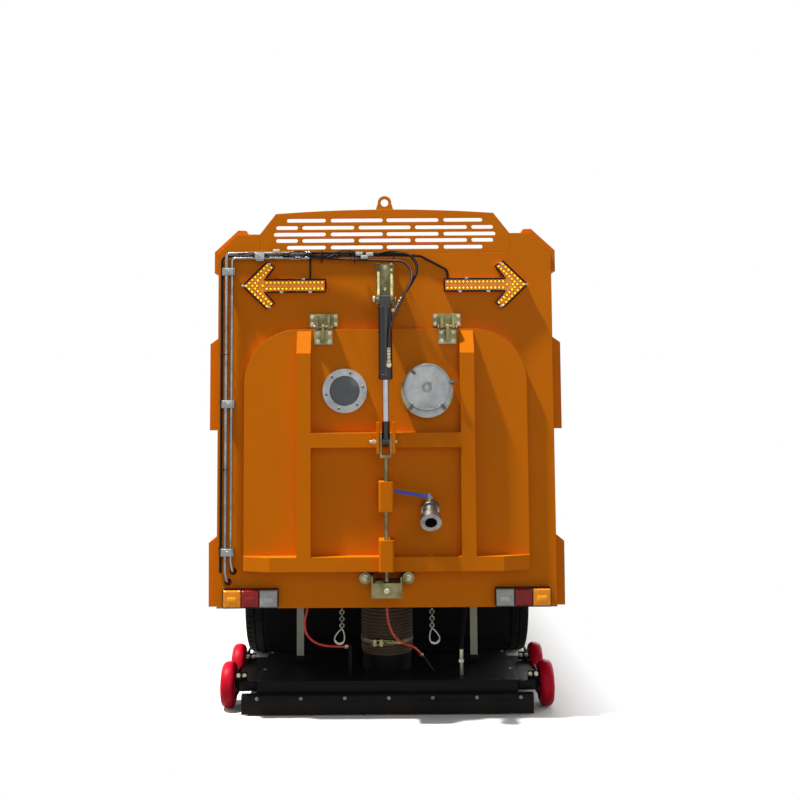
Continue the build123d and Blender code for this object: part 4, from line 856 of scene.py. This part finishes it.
# %% [markdown]
# The head's small wheels are solid rubber over a hub. Their solids have a plain edge. It could be rounded by a
# bevel, but the mesh of a node isn't touched; so a whole new surface is turned from a section, with a superellipse
# for its tread, and is seen in the node's place.
# %% Head wheels
for end in ("rear", "front"):
    for name, side in (("left", -1), ("right", 1)):
        node = f"head_wheel_{end}_{name}"
        low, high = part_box(node)
        mid, half = (np.array(low) + high) / 2, (high[0] - low[0]) / 2
        t = np.linspace(0, np.pi, 25)
        across = -half * np.sign(np.cos(t)) * np.abs(np.cos(t)) ** 0.85
        tread = np.c_[across, 0.106 + 0.0437 * np.abs(np.sin(t)) ** 0.8]
        face = half * 0.97
        hub = [(half * 0.72, 0.094), (half * 0.6, 0.088), (half * 0.6, 0.064), (face, 0.058), (face, 0.0175)]
        section = [(-x, r) for x, r in hub[::-1]] + tread.tolist() + hub
        wheel = piece(node + "_rubber", [turned(section, mid, RIGHT, 72)], red_wheel, node)
        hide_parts(node)
        way = (side, 0, 0)
        button = [(-0.004, 0.024), (0.002, 0.024), (0.003, 0.02), (0.003, 0)]
        cap = [turned(button, mid + [side * face, 0, 0], way, 24)]
        cap += bolt(mid + [side * (face + 0.003), 0, 0], way, 0.013, False)
        piece(node + "_cap", cap, zinc_bright, node)
# %% [markdown]
# A road tyre is moulded in one piece: bead, sidewall, shoulder and crown make its section. Its tread could be many
# small blocks; that would cost far more faces and leave cracks. So the section is turned once, and the radius drops
# wherever a groove or a slot lies: two grooves run round and wander a little, and short slots cross each shoulder
# at even angles.
# %% Road tyres


def tyre(mid, half, radius, bead, lugs=58, turns=348):
    """A tyre's surface. Its radius drops by a fixed depth wherever a groove or a slot lies."""
    wall = [(-0.085 / 0.1175, 0), (-0.93, 0.012), (-0.985, 0.05), (-1.0, 0.085), (-0.994, 0.108),
            (-0.999, 0.112), (-0.985, 0.15), (-0.95, 0.186), (-0.93, 0.2), (-0.915, 0.203)]
    wall = np.array([(o * half, bead + r) for o, r in wall])
    o = np.linspace(-0.86, 0.86, 44) * half
    crown = radius - 0.013 * np.abs(o / half / 0.86) ** 3.2
    section = np.concatenate([wall, np.c_[o, crown], wall[::-1] * [-1, 1]])
    a = np.linspace(0, 2 * np.pi, turns, endpoint=False)[:, None]
    off, r = section[None, :, 0], section[None, :, 1] + 0 * a
    wander = 0.004 * np.sign(np.sin(lugs * a)) * np.minimum(1, 3 * np.abs(np.sin(lugs * a)))
    groove = np.maximum(np.abs(off - 0.29 * half - wander) < 0.0052, np.abs(off + 0.29 * half + wander) < 0.0052)
    beat = np.mod(a * lugs / 2 / np.pi + 0.15 * np.sign(off), 1)
    slot = (beat < 0.26) & (np.abs(off) > 0.46 * half) & (r > radius - 0.045)
    r = r - 0.0105 * np.maximum(groove & (r > radius - 0.02), slot)
    return np.stack([mid[0] + off + 0 * a, mid[1] + r * np.cos(a), mid[2] + r * np.sin(a)], -1), True, True


for node, body in (("tyre_front_left", "wheel_front_left"), ("tyre_front_right", "wheel_front_right"),
                   ("tyres_rear_left", "wheels_rear_left"), ("tyres_rear_right", "wheels_rear_right")):
    low, high = np.array(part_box(node))
    mid, half, radius = (low + high) / 2, 0.235 / 2, (high[2] - low[2]) / 2
    twins = [mid + [s * ((high[0] - low[0]) / 2 - half), 0, 0] for s in (-1, 1)]
    middles = [mid] if "front" in node else twins
    rubber_piece = piece(node + "_tread", [tyre(at, half, radius, 0.254) for at in middles], tyre_rubber, body)
    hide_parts(node)
# %% [markdown]
# Ten nuts hold each disc, in a ring round the hub's cap. They could be a bump in the disc's finish; turned hexagons
# catch the light as nuts do, and ten of them are cheap. The front discs are dished outwards and the rear ones
# inwards.
# %% Wheel nuts and hubs
for node in ("rim_front_left", "rim_front_right", "rims_rear_left", "rims_rear_right"):
    side = -1 if node.endswith("left") else 1
    body = node.replace("rim_front", "wheel_front").replace("rims_rear", "wheels_rear")
    low, high = np.array(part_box(node))
    mid = (low + high) / 2
    front = "front" in node
    face, ring, hub, r = (0.057, 0.115, 0.1, 0.07) if front else (0.013, 0.17, 0.165, 0.1)
    nuts = []
    for k in range(10):
        a = 2 * np.pi * k / 10
        at = mid + [side * face, ring * math.cos(a), ring * math.sin(a)]
        nuts.append(turned([(0, 0.022), (0.004, 0.021), (0.006, 0.0165), (0.024, 0.0165), (0.028, 0.012),
                            (0.034, 0.011), (0.034, 0)], at, (side, 0, 0), 6))
    piece(node + "_nuts", nuts, dark_steel, body)
    cap = turned([(-0.004, r), (0.012, r * 0.99), (0.03, r * 0.86), (0.042, r * 0.6), (0.046, r * 0.3), (0.046, 0)],
                 mid + [side * hub, 0, 0], (side, 0, 0), 40)
    piece(node + "_hub_cap", [cap], chassis_black, body)
# %% [markdown]
# The front isn't seen in the photograph and follows the type: lamps with two bowls in the bumper, wipers on the
# raked windscreen, seals round the windows, mirror faces, treads on the steps and reflectors along the skirts. They
# could be left as flat colour; small turned and swept parts were chosen, because they make a plain cab read as
# glass, rubber and plate.
# %% Front of the cab
bowls, rings, covers = [], [], []
for side in (-1, 1):
    for x in (0.6, 0.78):
        at, r = (side * x, FRONT - 0.0065, 0.65), 0.068
        ring = [(-0.001, r + 0.008), (0.003, r + 0.007), (0.004, r + 0.002), (0.001, r - 0.002), (-0.001, r - 0.002)]
        bowl = [(0.0036 * math.sin(a), (r - 0.006) * math.cos(a)) for a in np.linspace(0, np.pi / 2, 8)]
        rings.append(turned(ring, at, AHEAD, 48))
        bowls.append(turned([(-0.0005, r - 0.004)] + bowl, at, AHEAD, 40))
    covers.append(block((side * 0.868, FRONT - 0.012, 0.58), (side * 0.892, FRONT - 0.002, 0.72), 0.003))
piece("headlamp_rings", rings, chrome, "chassis")
piece("headlamp_bowls", bowls, clear_lens, "chassis")
piece("front_indicators", covers, amber, "chassis")


def screen_y(z):
    """The raked plane just in front of the windscreen glass."""
    return FRONT - 0.02 - (z - 1.56) * 0.19 / 0.96 - 0.006


arms, blades = [], []
for x0 in (-0.62, 0.12):
    pivot, tip = np.array([x0, screen_y(1.6) + 0.012, 1.6]), np.array([x0 + 0.5, screen_y(1.98) + 0.016, 1.98])
    arms.append(along([pivot, pivot * 0.5 + tip * 0.5 + [0, 0.012, 0], tip], [0.011, 0.008, 0.006], 10))
    arms.append(turned([(-0.02, 0.02), (0.0, 0.02), (0.012, 0.016), (0.014, 0)], pivot, (0, 1, 0.2), 20))
    span = np.array([0.16, 0, 0.2])
    ends = [tip - span * 1.4, tip + span * 0.9]
    blades.append(along([[e[0], screen_y(e[2]) + 0.004, e[2]] for e in ends], 0.006, 8))
    blades.append(along([[e[0], screen_y(e[2]) + 0.013, e[2]] for e in ends], 0.004, 8))
piece("wiper_arms", arms, black_gloss, "chassis")
piece("wiper_blades", blades, black_trim, "chassis")


def seal(points, r=0.011):
    """A rubber seal: a rod carried round a closed outline whose corners are cut by quadratic arcs."""
    p = np.array(points, float)
    out = []
    for a, b, c in zip(np.roll(p, 1, 0), p, np.roll(p, -1, 0)):
        start, end = [b + (o - b) * min(0.45, 0.07 / np.linalg.norm(o - b)) for o in (a, c)]
        for t in np.linspace(0, 1, 6):
            out.append((1 - t) ** 2 * start + 2 * t * (1 - t) * b + t ** 2 * end)
    return along(out, r, 8, closed=True)


DOOR_BACK, DOOR_FRONT = FRONT - 1.22, FRONT - 0.27
window_line = [(DOOR_BACK + 0.07, 1.76), (DOOR_FRONT - 0.09, 1.76), (DOOR_FRONT - 0.205, 2.45),
               (DOOR_BACK + 0.07, 2.47)]
for side, body in ((-1, "cab_door_left"), (1, "cab_door_right")):
    x = side * (abs(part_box("door_glass_right")[1][0]) + 0.024)
    piece(body + "_seal", [seal([(x, y, z) for y, z in window_line])], black_trim, body)
grille_back = block((-0.64, FRONT - 0.0225, 0.995), (0.64, FRONT - 0.0195, 1.435), 0.001)
piece("grille_mesh", [grille_back], black_trim, "chassis")
screen = [(x, screen_y(z), z) for x, z in ((-0.97, 1.63), (0.97, 1.63), (0.97, 2.43), (-0.97, 2.43))]
piece("windscreen_seal", [seal(screen, 0.013)], black_trim, "chassis")
faces = []
for side in (-1, 1):
    faces.append(block((side * 1.172, FRONT - 0.2195, 1.735), (side * 1.318, FRONT - 0.2145, 2.165), 0.002))
piece("mirror_faces", faces, chrome, "chassis")
treads = []
for side in (-1, 1):
    for x0, x1, z in ((0.82, 1.09, 0.6395), (0.88, 1.1, 0.7795)):
        for k in range(4):
            y = FRONT - 0.62 + 0.11 * k
            if y < FRONT - 0.19:
                treads.append(block((side * x0, y, z), (side * x1, y + 0.03, z + 0.004), 0.001))
piece("step_treads", treads, aluminium, "chassis")
markers = []
for side in (-1, 1):
    wall = side * float(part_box("body_sides")[1][0])
    for y in (REAR + 0.6, REAR + 2.1, REAR + 3.6, REAR + 4.9):
        markers.append(block((wall - side * 0.004, y - 0.045, 0.79), (wall - side * 0.0005, y + 0.045, 0.825),
                             0.0015))
piece("side_reflectors", markers, amber_dark, "chassis")
